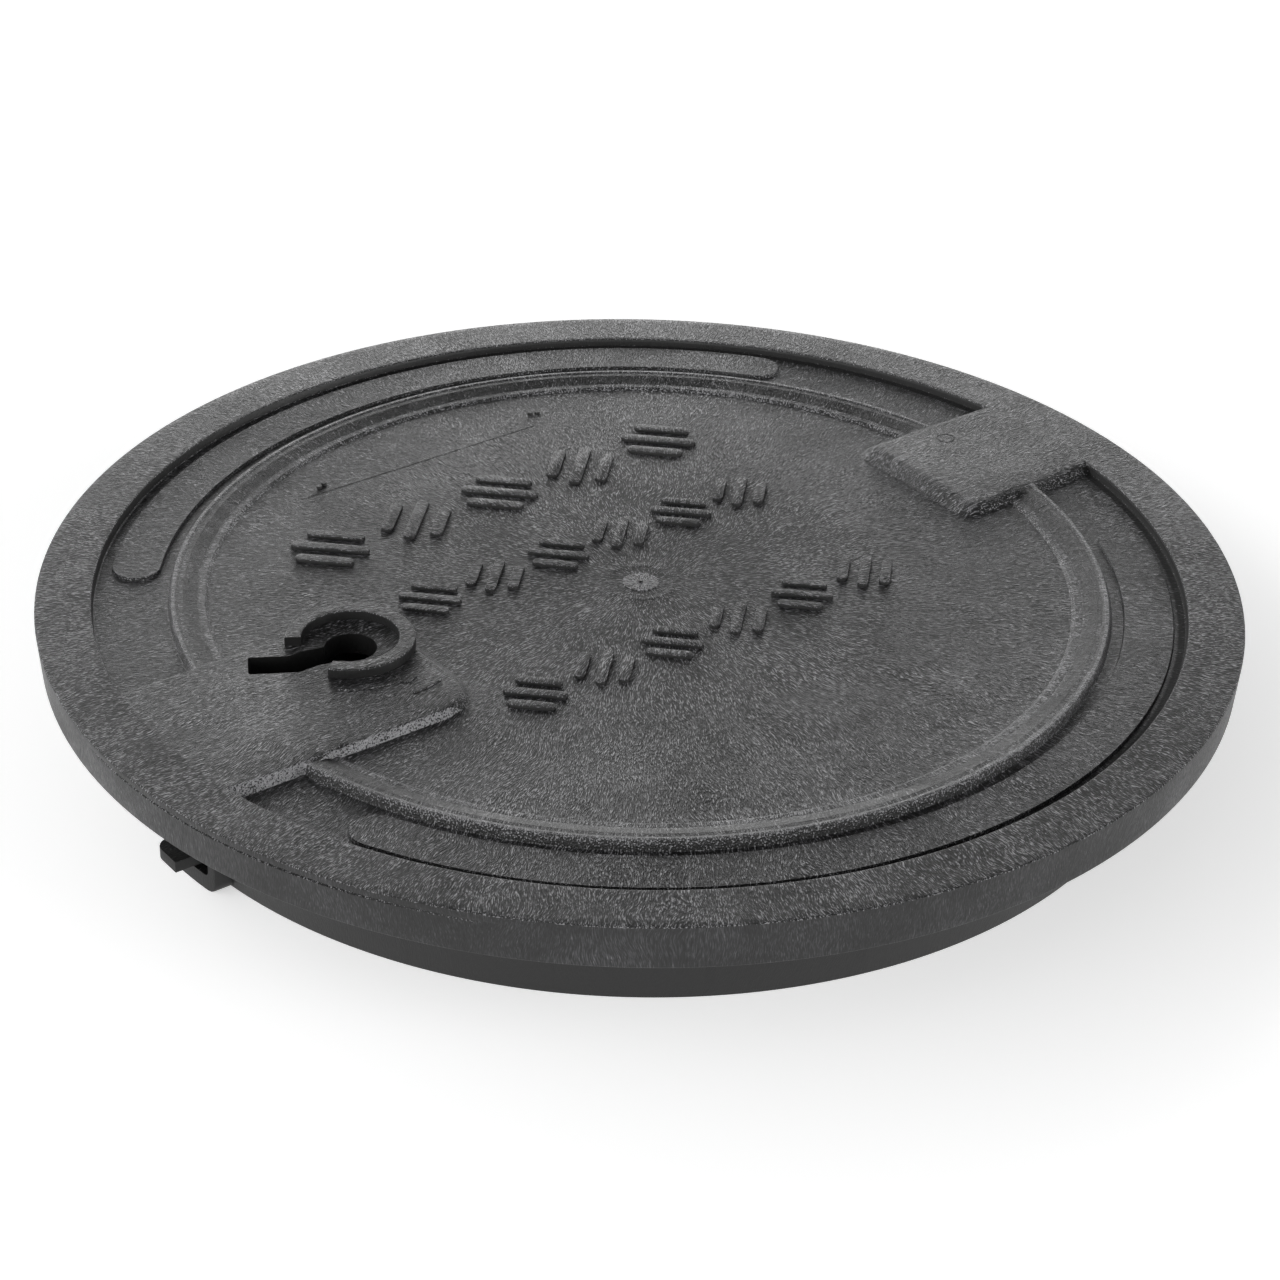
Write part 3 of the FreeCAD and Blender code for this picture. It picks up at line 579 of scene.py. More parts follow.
# Collar round the keyhole, left open where the key's foot goes in, then the shallow dish, the bent
# slot and the round keyhole
KEYHOLE_X = -175.0
KEYHOLE_Y = 28.0
KEYHOLE_RADIUS = 14.3
COLLAR_INNER_RADIUS = 26.5
COLLAR_OUTER_RADIUS = 35.4
COLLAR_TOP_Z = 79.5
COLLAR_ROOT_Z = TOP_Z - 1.5
COLLAR_DRAFT = 0.05
COLLAR_START = 218.0
COLLAR_SWEEP = 290.0
DISH_DEPTH = 2.0
SLOT_HALF = 8.6
SLOT_STRAIGHT = 35.5
SLOT_END = 24.5
SLOT_BEND = math.radians(30)
SLOT_KNEE_ROUNDING = 6.0
SLOT_END_ROUNDING = 1.5
collar_seat = prism(circle(COLLAR_OUTER_RADIUS, KEYHOLE_X, KEYHOLE_Y, 120), DISC_Z - OVERRUN,
                    TOP_Z)
combine(cover, collar_seat, "UNION")
collar_section = rounded((
    (COLLAR_INNER_RADIUS, COLLAR_ROOT_Z, 0),
    (COLLAR_OUTER_RADIUS, COLLAR_ROOT_Z, 0),
    (COLLAR_OUTER_RADIUS - COLLAR_DRAFT, COLLAR_TOP_Z, 0.9),
    (COLLAR_INNER_RADIUS + COLLAR_DRAFT, COLLAR_TOP_Z, 0.7),
), closed=True)
collar = ring_sector(collar_section, COLLAR_START, COLLAR_SWEEP, KEYHOLE_X, KEYHOLE_Y, 120)
combine(cover, collar, "UNION")
dish = prism(circle(KEYHOLE_RADIUS - 0.5, KEYHOLE_X, KEYHOLE_Y, 96), TOP_Z - DISH_DEPTH,
             TOP_Z + 2 * SLIVER,
             circle(COLLAR_INNER_RADIUS - COLLAR_DRAFT, KEYHOLE_X, KEYHOLE_Y, 96))
combine(cover, dish, "DIFFERENCE")
knee = Vector((KEYHOLE_X - SLOT_STRAIGHT, KEYHOLE_Y))
run = Vector((-math.cos(SLOT_BEND), math.sin(SLOT_BEND)))
across = Vector((math.sin(SLOT_BEND), math.cos(SLOT_BEND))) * SLOT_HALF
mitre = Vector((math.sin(SLOT_BEND / 2), math.cos(SLOT_BEND / 2)))
mitre = mitre * (SLOT_HALF / math.cos(SLOT_BEND / 2))
tip = knee + run * SLOT_END
slot = rounded([(*p, radius) for p, radius in (
    (Vector((KEYHOLE_X, KEYHOLE_Y + SLOT_HALF)), 0),
    (knee + mitre, SLOT_KNEE_ROUNDING),
    (tip + across, SLOT_END_ROUNDING),
    (tip - across, SLOT_END_ROUNDING),
    (knee - mitre, SLOT_KNEE_ROUNDING),
    (Vector((KEYHOLE_X, KEYHOLE_Y - SLOT_HALF)), 0),
)], closed=True)
for outline in (slot, circle(KEYHOLE_RADIUS, KEYHOLE_X, KEYHOLE_Y, 72)):
    through = prism(outline, PLATE_UNDERSIDE_Z - 2 * OVERRUN, COLLAR_TOP_Z + 2 * OVERRUN)
    combine(cover, through, "DIFFERENCE")

# Raised tread on the disc, in three bands: groups of three parallel bars with drafted sides, laid
# to the left and to the right in turn as on a tread plate, moulded with the plate. The layers of a
# bar are given by their inset from its outline and their height over the disc.
TREAD_BANDS = (
    {"y": 131.5, "first": -123.0, "last": 112.0, "groups": 5, "length": 46.0, "width": 7.6,
     "pitch": 14.5},
    {"y": 51.5, "first": -108.0, "last": 112.0, "groups": 6, "length": 36.0, "width": 6.4,
     "pitch": 12.0},
    {"y": -64.0, "first": -118.0, "last": 111.0, "groups": 6, "length": 35.0, "width": 6.4,
     "pitch": 12.0},
)
TREAD_TILT = 45.0
TREAD_HEIGHT = 2.1
TREAD_LAYERS = ((0.0, -0.6), (0.05, 0.0), (0.2, TREAD_HEIGHT - 0.35), (0.35, TREAD_HEIGHT - 0.1),
                (0.65, TREAD_HEIGHT))
OUTER_BAR_SHARE = 0.74


def capsule(length, width, steps=7):
    # outline of a bar with round ends
    reach, radius = (length - width) / 2, width / 2
    turns = [math.pi * (k / steps - 0.5) for k in range(steps + 1)]
    right_end = [(reach + radius * math.cos(t), radius * math.sin(t)) for t in turns]
    return right_end + [(-a, -b) for a, b in right_end]


def tread_bar(x, y, tilt, length, width):
    # points and faces of one bar, its root sunk into the plate
    cos, sin = math.cos(math.radians(tilt)), math.sin(math.radians(tilt))
    points = [(x + a * cos - b * sin, y + a * sin + b * cos, DISC_Z + level)
              for inset, level in TREAD_LAYERS
              for a, b in capsule(length - 2 * inset, width - 2 * inset)]
    count = len(points) // len(TREAD_LAYERS)
    faces = [tuple(range(count))[::-1], tuple(range(len(points) - count, len(points)))]
    for j in range(len(TREAD_LAYERS) - 1):
        for k in range(count):
            a, b = j * count + k, j * count + (k + 1) % count
            faces.append((a, b, b + count, a + count))
    return points, faces


tread_points, tread_faces = [], []
for band in TREAD_BANDS:
    for k in range(band["groups"]):
        middle = band["first"] + (band["last"] - band["first"]) * k / (band["groups"] - 1)
        tilt = TREAD_TILT if k % 2 else -TREAD_TILT
        for shift in (-1, 0, 1):
            away = shift * band["pitch"]
            length = band["length"] * (OUTER_BAR_SHARE if shift else 1)
            x = middle - away * math.sin(math.radians(tilt))
            y = band["y"] + away * math.cos(math.radians(tilt))
            points, faces = tread_bar(x, y, tilt, length, band["width"])
            tread_faces += [tuple(len(tread_points) + n for n in face) for face in faces]
            tread_points += points
combine(cover, new_piece("tool", tread_points, tread_faces), "UNION")

# Arrow round the keyhole that shows which way the key turns: two thin raised lines, given by
# radius and the angles of their ends, and a barbed head of three strokes
LINE_SECTION = ((-0.8, -0.5), (0.8, -0.5), (0.3, 0.6), (-0.3, 0.6))
ARROW_LINES = ((46.8, 229.0, 272.0), (61.0, 270.5, 289.0))
ARROW_HEAD = ((-172.6, -12.2, -172.0, -17.0), (-170.6, -23.0, -164.8, -20.2),
              (-173.6, -19.2, -170.6, -22.4))
ARROW_STROKE = 1.5


def stroke(x0, y0, x1, y1, width, z0, z1):
    # straight raised line, half as wide at its top
    along = Vector((x1 - x0, y1 - y0)).normalized() * width / 2
    side = Vector((-along.y, along.x))
    start, end = Vector((x0, y0)), Vector((x1, y1))
    outlines = []
    for share in (1, 0.5):
        a, b = along * share, side * share
        corners = (start - a - b, end + a - b, end + a + b, start - a + b)
        outlines.append([tuple(p) for p in corners])
    return prism(outlines[0], z0, z1, outlines[1])


for radius, start, end in ARROW_LINES:
    section = [(radius + a, TOP_Z + b) for a, b in LINE_SECTION]
    line = ring_sector(section, start, end - start, KEYHOLE_X, KEYHOLE_Y, 50)
    combine(cover, line, "UNION")
for ends in ARROW_HEAD:
    combine(cover, stroke(*ends, ARROW_STROKE, TOP_Z - 0.5, TOP_Z + 0.6), "UNION")

# What the mould leaves: the stub of the sprue at the gate, two pairs of pips, a faint straight
# line and the ring of an ejector on the plain pad
SPRUE_RADII = (1.3, 1.0)
SPRUE_HEIGHT = 1.2
PIP_RADII = (1.9, 1.5)
PIP_HEIGHT = 1.6
PIP_DISTANCE = 217.0
PIP_ANGLES = (113.6, 70.9)
PIP_SPREAD = 0.6
MOULD_LINE = (-105.0, 192.0, 62.0, 192.0)
MOULD_LINE_WIDTH = 1.0
MOULD_LINE_HEIGHT = 0.18
MARK_ROOT_Z = DISC_Z - 0.5
EJECTOR_PLACE = (253.0, 27.0)
EJECTOR_RADIUS = 5.6
EJECTOR_LINE = 0.8
EJECTOR_DEPTH = 0.2
sprue = prism(circle(SPRUE_RADII[0], 0, 0, 20), MARK_ROOT_Z, DISC_Z + SPRUE_HEIGHT,
              circle(SPRUE_RADII[1], 0, 0, 20))
combine(cover, sprue, "UNION")
for angle in PIP_ANGLES:
    for shift in (-PIP_SPREAD, PIP_SPREAD):
        turn = math.radians(angle + shift)
        x, y = PIP_DISTANCE * math.cos(turn), PIP_DISTANCE * math.sin(turn)
        pip = prism(circle(PIP_RADII[0], x, y, 20), MARK_ROOT_Z, DISC_Z + PIP_HEIGHT,
                    circle(PIP_RADII[1], x, y, 20))
        combine(cover, pip, "UNION")
mould_line = stroke(*MOULD_LINE, MOULD_LINE_WIDTH, MARK_ROOT_Z, DISC_Z + MOULD_LINE_HEIGHT)
combine(cover, mould_line, "UNION")
ejector = prism(circle(EJECTOR_RADIUS, *EJECTOR_PLACE), TOP_Z - EJECTOR_DEPTH, TOP_Z + OVERRUN)
ejector_core = prism(circle(EJECTOR_RADIUS - EJECTOR_LINE, *EJECTOR_PLACE), TOP_Z - OVERRUN,
                     TOP_Z + 2 * OVERRUN)
combine(ejector, ejector_core, "DIFFERENCE")
combine(cover, ejector, "DIFFERENCE")


def add_node(tree, kind, inputs=(), **settings):
    # adds a shader node, sets its properties and fills or links its inputs by name or number; of a
    # node given as an input, the first output is linked
    node = tree.nodes.new("ShaderNode" + kind)
    for key, value in settings.items():
        setattr(node, key, value)
    for key, value in dict(inputs).items():
        if isinstance(value, bpy.types.Node):
            value = value.outputs[0]
        if isinstance(value, bpy.types.NodeSocket):
            tree.links.new(value, node.inputs[key])
        else:
            node.inputs[key].default_value = value
    return node


def linear(hex_colour):
    # sRGB hex colour to the linear values that Blender works in
    parts = [int(hex_colour[k:k + 2], 16) / 255 for k in (1, 3, 5)]
    return (*(c / 12.92 if c <= 0.04045 else ((c + 0.055) / 1.055) ** 2.4 for c in parts), 1.0)


def empty_tree(owner):
    # the node tree of a new material or world, with no nodes in it
    owner.use_nodes = True
    owner.node_tree.nodes.clear()
    return owner.node_tree


def shade(piece, material, sharp_angle=38):
    piece.data.materials.clear()
    piece.data.materials.append(material)
    piece.data.shade_smooth()
    piece.data.set_sharp_from_angle(angle=math.radians(sharp_angle))


# Black polyolefin, foamed and moulded: the melt ran out from the gate at the centre and froze in
# short flow streaks along its way, which give the black a fine grey grain and a satin sheen. The
# real streaks are about 0.2 mm wide and 1 to 3 mm long, too fine for the picture, and are drawn
# 0.3 to 0.4 mm wide. The grain is weaker on walls, where the melt slid along the steel. Torn
# slopes carry coarser specks of 1 mm, and the black is slightly clouded, 45 mm apart.
STREAK_WIDTH = 0.33
STREAK_LENGTH = 2.4
STREAK_BAND_RATIO = 1.3
GRAIN_SIZE = 1.2
SPECK_SIZE = 0.9
CLOUD_SIZE = 45.0
EDDY_SIZE = 60.0
EDDY_SWAY = 26.0
GRAIN_RELIEF = 0.23
POLYOLEFIN_IOR = 1.5
POLYOLEFIN_TONES = ((0.1, "#050505"), (0.4, "#0d0d0d"), (0.55, "#1c1c1d"), (0.72, "#454547"),
                    (0.95, "#8c8c8e"))
ROUGHNESS_OF_BLACK = 0.45
ROUGHNESS_OF_GREY = 0.18
LOW_SKIRT_LEVELS = (48.0, 44.0)
SOIL_SIDE = (-0.61, -0.79, 0)


def within(tree, value, start, end, soft=0.6):
    # 1 between two values, fading to 0 outside
    rise, fall = (add_node(tree, "MapRange", {"Value": value, "From Min": zero, "From Max": one})
                  for zero, one in ((start - soft, start), (end + soft, end)))
    return add_node(tree, "Math", {0: rise, 1: fall}, operation="MULTIPLY")


def flow_streaks(tree, place, flat, facing, height):
    # short dashes along the way of the melt, around 0; the flow wavers over several centimetres
    eddy = add_node(tree, "TexNoise", {"Vector": place, "Scale": 1 / EDDY_SIZE, "Detail": 2.0})
    eddy = add_node(tree, "VectorMath", {0: eddy.outputs["Color"], 1: (-0.5, -0.5, -0.5)},
                    operation="ADD")
    sway = add_node(tree, "VectorMath", {0: eddy, 1: (EDDY_SWAY, EDDY_SWAY, 0)},
                    operation="MULTIPLY")
    flat = add_node(tree, "VectorMath", {0: flat, 1: sway}, operation="ADD")
    outward = add_node(tree, "VectorMath", {0: flat}, operation="NORMALIZE")
    radius = add_node(tree, "VectorMath", {0: flat}, operation="LENGTH").outputs["Value"]
    radius = add_node(tree, "Math", {0: radius, 1: 3.0}, operation="MAXIMUM")
    # each band of radii gets streaks of about the same width
    power = add_node(tree, "Math", {0: radius, 1: STREAK_BAND_RATIO}, operation="LOGARITHM")
    power = add_node(tree, "Math", {0: power}, operation="FLOOR")
    band = add_node(tree, "Math", {0: STREAK_BAND_RATIO, 1: power}, operation="POWER")
    scale = add_node(tree, "Math", {0: band, 1: STREAK_WIDTH}, operation="DIVIDE")
    around = add_node(tree, "VectorMath", {0: outward, "Scale": scale}, operation="SCALE")
    # the melt runs down walls that face out and up walls that face in
    lie = add_node(tree, "VectorMath", {0: facing, 1: outward}, operation="DOT_PRODUCT")
    lie = add_node(tree, "MapRange", {"Value": lie.outputs["Value"], "From Min": -0.3,
                                      "From Max": 0.3, "To Min": 1.0, "To Max": -1.0})
    travel = add_node(tree, "Math", {0: height, 1: lie, 2: radius}, operation="MULTIPLY_ADD")
    travel = add_node(tree, "Math", {0: travel, 1: STREAK_LENGTH}, operation="DIVIDE")
    travel = add_node(tree, "CombineXYZ", {"Z": travel})
    flow = add_node(tree, "VectorMath", {0: around, 1: travel}, operation="ADD")
    # one dash for each cell of the flow, of its own brightness, worn away towards its edge
    cell = add_node(tree, "TexVoronoi", {"Vector": flow, "Scale": 1.0})
    core = add_node(tree, "MapRange", {"Value": cell.outputs["Distance"], "From Min": 0.2,
                                       "From Max": 0.7, "To Min": 1.0, "To Max": 0.0})
    lot = add_node(tree, "SeparateXYZ", {0: cell.outputs["Color"]})
    lot = add_node(tree, "Math", {0: lot, 1: 0.5}, operation="SUBTRACT")
    dash = add_node(tree, "Math", {0: lot, 1: core}, operation="MULTIPLY")
    haze = add_node(tree, "TexNoise", {"Vector": flow, "Scale": 0.7, "Detail": 1.0})
    haze = add_node(tree, "Math", {0: haze.outputs["Fac"], 1: 0.5}, operation="SUBTRACT")
    return add_node(tree, "Math", {0: haze, 1: 2.0, 2: dash}, operation="MULTIPLY_ADD")


def moulded_polyolefin(name, darker=0.0):
    material = bpy.data.materials.new(name)
    tree = empty_tree(material)
    place = add_node(tree, "TexCoord").outputs["Object"]
    place = add_node(tree, "VectorMath", {0: place, "Scale": 1 / MM}, operation="SCALE")
    x, y, z = add_node(tree, "SeparateXYZ", {0: place}).outputs
    height = add_node(tree, "Math", {0: z, 1: CHANNEL_Z}, operation="SUBTRACT")
    flat = add_node(tree, "VectorMath", {0: place, 1: (1, 1, 0)}, operation="MULTIPLY")
    radius = add_node(tree, "VectorMath", {0: flat}, operation="LENGTH").outputs["Value"]
    facing = add_node(tree, "NewGeometry").outputs["True Normal"]
    upward = add_node(tree, "SeparateXYZ", {0: facing}).outputs["Z"]

    # flow streaks and an even grain, full on open faces and weaker on walls
    streak = flow_streaks(tree, place, flat, facing, height)
    grain = add_node(tree, "TexNoise", {"Vector": place, "Scale": 1 / GRAIN_SIZE, "Detail": 3.0})
    grain = add_node(tree, "Math", {0: grain.outputs["Fac"], 1: 0.5}, operation="SUBTRACT")
    mottle = add_node(tree, "Math", {0: grain, 1: 0.4, 2: streak}, operation="MULTIPLY_ADD")
    open_face = add_node(tree, "MapRange", {"Value": upward, "From Min": 0.2, "From Max": 0.7,
                                            "To Min": 0.3, "To Max": 1.0})
    mottle = add_node(tree, "Math", {0: mottle, 1: open_face}, operation="MULTIPLY")

    # slopes and rounded edges, where the melt was torn, carry coarse pale specks; the inner slope
    # of the plain pad stayed nearly whole
    torn = add_node(tree, "MapRange", {"Value": upward, "From Min": 0.96, "From Max": 0.85})
    steep = add_node(tree, "MapRange", {"Value": upward, "From Min": 0.12, "From Max": 0.25})
    torn = add_node(tree, "Math", {0: torn, 1: steep}, operation="MULTIPLY")
    from_slope = add_node(tree, "Math", {0: x, 1: PLAIN_PAD["inner"] - 4}, operation="SUBTRACT")
    from_slope = add_node(tree, "Math", {0: from_slope}, operation="ABSOLUTE")
    off_slope = add_node(tree, "MapRange", {"Value": from_slope, "From Min": 6.0, "From Max": 8.0,
                                            "To Min": 0.15, "To Max": 1.0})
    torn = add_node(tree, "Math", {0: torn, 1: off_slope}, operation="MULTIPLY")
    speck = add_node(tree, "TexNoise", {"Vector": place, "Scale": 1 / SPECK_SIZE, "Detail": 1.0})
    speck = add_node(tree, "Math", {0: speck.outputs["Fac"], 1: 0.5}, operation="SUBTRACT")
    speck = add_node(tree, "Math", {0: speck, 1: torn}, operation="MULTIPLY")
    mottle = add_node(tree, "Math", {0: speck, 1: 3.2, 2: mottle}, operation="MULTIPLY_ADD")

    # inside the rim the walls are painted in shade, darker than the open faces
    inner = add_node(tree, "MapRange", {"Value": radius, "From Min": RIM_INNER_RADIUS + 3,
                                        "From Max": RIM_INNER_RADIUS + 1})
    wall = add_node(tree, "MapRange", {"Value": upward, "From Min": 0.35, "From Max": 0.15})
    inner_wall_shade = add_node(tree, "Math", {0: inner, 1: wall}, operation="MULTIPLY")
    # the bead's crest and the step at its foot get painted highlights, the slope between them
    # painted shade
    bead_level = within(tree, height, DISC_Z - CHANNEL_Z + 0.2, BEAD_TOP_Z - CHANNEL_Z + 0.4, 0.3)
    crest = within(tree, radius, BEAD_OUTER_RADIUS - 3.2, BEAD_OUTER_RADIUS - 0.6)
    step = within(tree, radius, BEAD_INNER_RADIUS + 2.6, BEAD_INNER_RADIUS + 7.5)
    slope = within(tree, radius, BEAD_INNER_RADIUS + 9.5, BEAD_OUTER_RADIUS - 7.5)
    crest, step, slope = (add_node(tree, "Math", {0: share, 1: bead_level}, operation="MULTIPLY")
                          for share in (crest, step, slope))
    # the lock pad's near wall gets a painted highlight along its foot
    pad_foot = -LOCK_PAD["half_width"] - 3.2
    pad_wall = within(tree, y, pad_foot, pad_foot + 3.4, 0.4)
    pad_end = -LOCK_PAD["inner"] - LOCK_PAD["corner"] * 0.7
    pad_length = within(tree, x, -RIM_INNER_RADIUS, pad_end, 6.0)
    pad_wall_highlight = add_node(tree, "Math", {0: pad_wall, 1: pad_length}, operation="MULTIPLY")
    pad_wall_highlight = add_node(tree, "Math", {0: pad_wall_highlight, 1: torn}, operation="MULTIPLY")
    # painted shade in the corner between channel and rim, towards the plain pad
    corner = within(tree, radius, RIM_INNER_RADIUS - 4.5, RIM_INNER_RADIUS + 0.5, 1.5)
    plain_half = add_node(tree, "MapRange", {"Value": x, "From Min": -50.0, "From Max": 100.0})
    corner = add_node(tree, "Math", {0: corner, 1: plain_half}, operation="MULTIPLY")
    in_channel = within(tree, height, -2.0, 4.5, 0.5)
    corner = add_node(tree, "Math", {0: corner, 1: in_channel}, operation="MULTIPLY")
    # the skirt below the rim's foot is painted in shade, and the cut gate at the centre stays
    # paler
    skirt = add_node(tree, "MapRange", {"Value": z, "From Min": LOW_SKIRT_LEVELS[0],
                                        "From Max": LOW_SKIRT_LEVELS[1]})
    from_gate = add_node(tree, "VectorMath", {0: place, 1: (0, 0, DISC_Z)}, operation="DISTANCE")
    scar = add_node(tree, "MapRange", {"Value": from_gate.outputs["Value"],
                                       "From Min": GATE_RADIUS + 0.6, "From Max": GATE_RADIUS})

    # the tone runs from black at 0 to grey at 1, and each mark moves it by its own amount
    tone = add_node(tree, "Math", {0: mottle, 1: 0.5 - darker}, operation="ADD")
    cloud = add_node(tree, "TexNoise", {"Vector": place, "Scale": 1 / CLOUD_SIZE, "Detail": 4.0})
    cloud = add_node(tree, "Math", {0: cloud.outputs["Fac"], 1: 0.5}, operation="SUBTRACT")
    # painted light and shade in the tone: the inner walls, the bead's crest, step and slope, the
    # lock pad's wall, the corner by the rim and the skirt
    for mark, change in ((cloud, 0.45), (torn, -0.06), (inner_wall_shade, -0.35), (crest, 0.22),
                         (step, 0.14), (slope, -0.14), (pad_wall_highlight, 0.6), (corner, -0.5),
                         (skirt, -0.25), (scar, 0.3)):
        tone = add_node(tree, "Math", {0: mark, 1: change, 2: tone}, operation="MULTIPLY_ADD")
    colour = add_node(tree, "ValToRGB", {"Fac": tone})
    stops = colour.color_ramp.elements
    for place_on, _ in POLYOLEFIN_TONES[1:-1]:
        stops.new(place_on)
    for stop, (place_on, hex_colour) in zip(stops, POLYOLEFIN_TONES):
        stop.position = place_on
        stop.color = linear(hex_colour)

    # pale grain is glossier; the channel, the rim where it lay in the soil, the corner painted in
    # shade and the skin round the gate, where the melt came in hottest, are duller
    from_arcs = add_node(tree, "Math", {0: radius, 1: arc_centre_radius}, operation="SUBTRACT")
    from_arcs = add_node(tree, "Math", {0: from_arcs}, operation="ABSOLUTE")
    sunk = add_node(tree, "MapRange", {"Value": from_arcs, "From Min": 22.0, "From Max": 18.0})
    soil = add_node(tree, "VectorMath", {0: place, 1: SOIL_SIDE}, operation="DOT_PRODUCT")
    soil = add_node(tree, "MapRange", {"Value": soil.outputs["Value"], "From Min": -180.0,
                                       "From Max": 0.0})
    on_rim = within(tree, radius, RIM_INNER_RADIUS, RIM_RADIUS + 5)
    soiled_rim = add_node(tree, "Math", {0: on_rim, 1: soil}, operation="MULTIPLY")
    near_gate = add_node(tree, "MapRange", {"Value": radius, "From Min": 235.0, "From Max": 60.0})
    roughness = add_node(tree, "MapRange", {"Value": tone, "From Min": 0.2, "From Max": 0.8,
                                            "To Min": ROUGHNESS_OF_BLACK,
                                            "To Max": ROUGHNESS_OF_GREY})
    for mark, change in ((sunk, 0.02), (soiled_rim, 0.14), (corner, 0.25), (near_gate, 0.17)):
        roughness = add_node(tree, "Math", {0: mark, 1: change, 2: roughness},
                             operation="MULTIPLY_ADD")
    relief = add_node(tree, "Bump", {"Height": mottle, "Strength": 1.0,
                                     "Distance": GRAIN_RELIEF * MM})
    surface = add_node(tree, "BsdfPrincipled", {"Base Color": colour, "Roughness": roughness,
                                                "IOR": POLYOLEFIN_IOR, "Normal": relief})
    add_node(tree, "OutputMaterial", {"Surface": surface})
    return material


shade(cover, moulded_polyolefin("moulded_black_polyolefin"))
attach(cover, "cover_body")
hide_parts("cover")


# Lock bolt and its carrier
# The flat bolt and the channel that guides it are moulded of a blacker and slippery plastic, such
# as acetal. The bolt's edges are rounded by half a millimetre, as they leave the mould. It slides
# in the carrier, which is screwed to the bosses.
BOLT_EDGE = 0.5
WELD_DISTANCE = 0.01
ACETAL_DARKER = 0.2
bolt_plastic = moulded_polyolefin("moulded_black_acetal", ACETAL_DARKER)
shade(nodes["bolt_carrier"], bolt_plastic)
bolt = bpy.data.objects.new("bolt_moulding", nodes["lock_bolt"].data.copy())
bpy.context.scene.collection.objects.link(bolt)
bolt.matrix_world = nodes["lock_bolt"].matrix_world.copy()
form = bmesh.new()
form.from_mesh(bolt.data)
bmesh.ops.remove_doubles(form, verts=form.verts, dist=WELD_DISTANCE * MM)
bmesh.ops.dissolve_limit(form, angle_limit=math.radians(2), verts=form.verts, edges=form.edges)
form.to_mesh(bolt.data)
form.free()
bevelled(bolt, BOLT_EDGE)
shade(bolt, bolt_plastic)
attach(bolt, "bolt_body")
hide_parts("lock_bolt")


# Bolt spring
# Compression spring wound of round drawn wire, its end turns closer than the rest. It sits round
# the bolt's stem and pushes the bolt out.
COIL_RADIUS = 5.3
WIRE_RADIUS = 0.68
WIRE_SIDES = 10
TURNS = 9
STEPS_PER_TURN = 32
END_PITCH = 3.0
END_GAP = 0.05
low, high = (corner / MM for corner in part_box("bolt_spring"))
coil_y = (low.y + high.y) / 2
coil_z = (low.z + high.z) / 2
first_x = low.x + WIRE_RADIUS + END_GAP
last_x = high.x - WIRE_RADIUS - END_GAP
inner_pitch = (last_x - first_x - 2 * END_PITCH) / (TURNS - 2)
ways = (0, END_PITCH, last_x - first_x - END_PITCH, last_x - first_x)
points = []
for k in range(TURNS * STEPS_PER_TURN + 1):
    turns = k / STEPS_PER_TURN
    way = float(np.interp(turns, (0, 1, TURNS - 1, TURNS), ways))
    angle = 2 * math.pi * turns
    out = Vector((0, math.sin(angle), math.cos(angle)))
    along = Vector((inner_pitch / (2 * math.pi * COIL_RADIUS), math.cos(angle), -math.sin(angle)))
    across = along.normalized().cross(out)
    centre = Vector((first_x + way, coil_y, coil_z)) + out * COIL_RADIUS
    for side in range(WIRE_SIDES):
        turn = 2 * math.pi * side / WIRE_SIDES
        spoke = out * math.cos(turn) + across * math.sin(turn)
        points.append(tuple(centre + spoke * WIRE_RADIUS))
rows = TURNS * STEPS_PER_TURN
faces = [tuple(range(WIRE_SIDES))[::-1], tuple(range(rows * WIRE_SIDES, (rows + 1) * WIRE_SIDES))]
for row in range(rows):
    for side in range(WIRE_SIDES):
        a, b = row * WIRE_SIDES + side, row * WIRE_SIDES + (side + 1) % WIRE_SIDES
        faces.append((a, b, b + WIRE_SIDES, a + WIRE_SIDES))
spring = new_piece("bolt_spring_wire", points, faces)
form = bmesh.new()
form.from_mesh(spring.data)
bmesh.ops.recalc_face_normals(form, faces=form.faces)
form.to_mesh(spring.data)
form.free()

# Steel, drawn or plated: bright grey metal, clouded by handling in spots of about a millimetre,
# which also dull its shine
SCUFFS_PER_METRE = 900.0
SCUFF_RELIEF = 0.1
SCUFF_COLOUR = "#5c5a56"


def steel(name, colour, roughness):
    material = bpy.data.materials.new(name)
    tree = empty_tree(material)
    place = add_node(tree, "TexCoord").outputs["Object"]
    scuff = add_node(tree, "TexNoise", {"Vector": place, "Scale": SCUFFS_PER_METRE, "Detail": 3.0})
    scuff = scuff.outputs["Fac"]
    spread = add_node(tree, "MapRange", {"Value": scuff, "To Min": roughness - 0.1,
                                         "To Max": roughness + 0.15})
    tint = add_node(tree, "Mix", {"Factor": scuff, "A": linear(colour), "B": linear(SCUFF_COLOUR)},
                    data_type="RGBA").outputs["Result"]
    relief = add_node(tree, "Bump", {"Height": scuff, "Strength": 0.3,
                                     "Distance": SCUFF_RELIEF * MM})
    surface = add_node(tree, "BsdfPrincipled", {"Base Color": tint, "Metallic": 1.0,
                                                "Roughness": spread, "Normal": relief})
    add_node(tree, "OutputMaterial", {"Surface": surface})
    return material


shade(spring, steel("drawn_spring_steel", "#8d8c8a", 0.3))
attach(spring, "cover_body")
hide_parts("bolt_spring")
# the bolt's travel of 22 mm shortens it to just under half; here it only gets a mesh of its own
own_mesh(spring)


# Carrier screws
# Four short hexagon head screws of zinc plated steel, driven up through the carrier's ears into
# the bosses. They keep the shape of the source.
screw_steel = steel("zinc_plated_steel", "#b9bab8", 0.35)
for number in range(1, len(SCREW_PLACES) + 1):
    shade(nodes["carrier_screw_%d" % number], screw_steel)


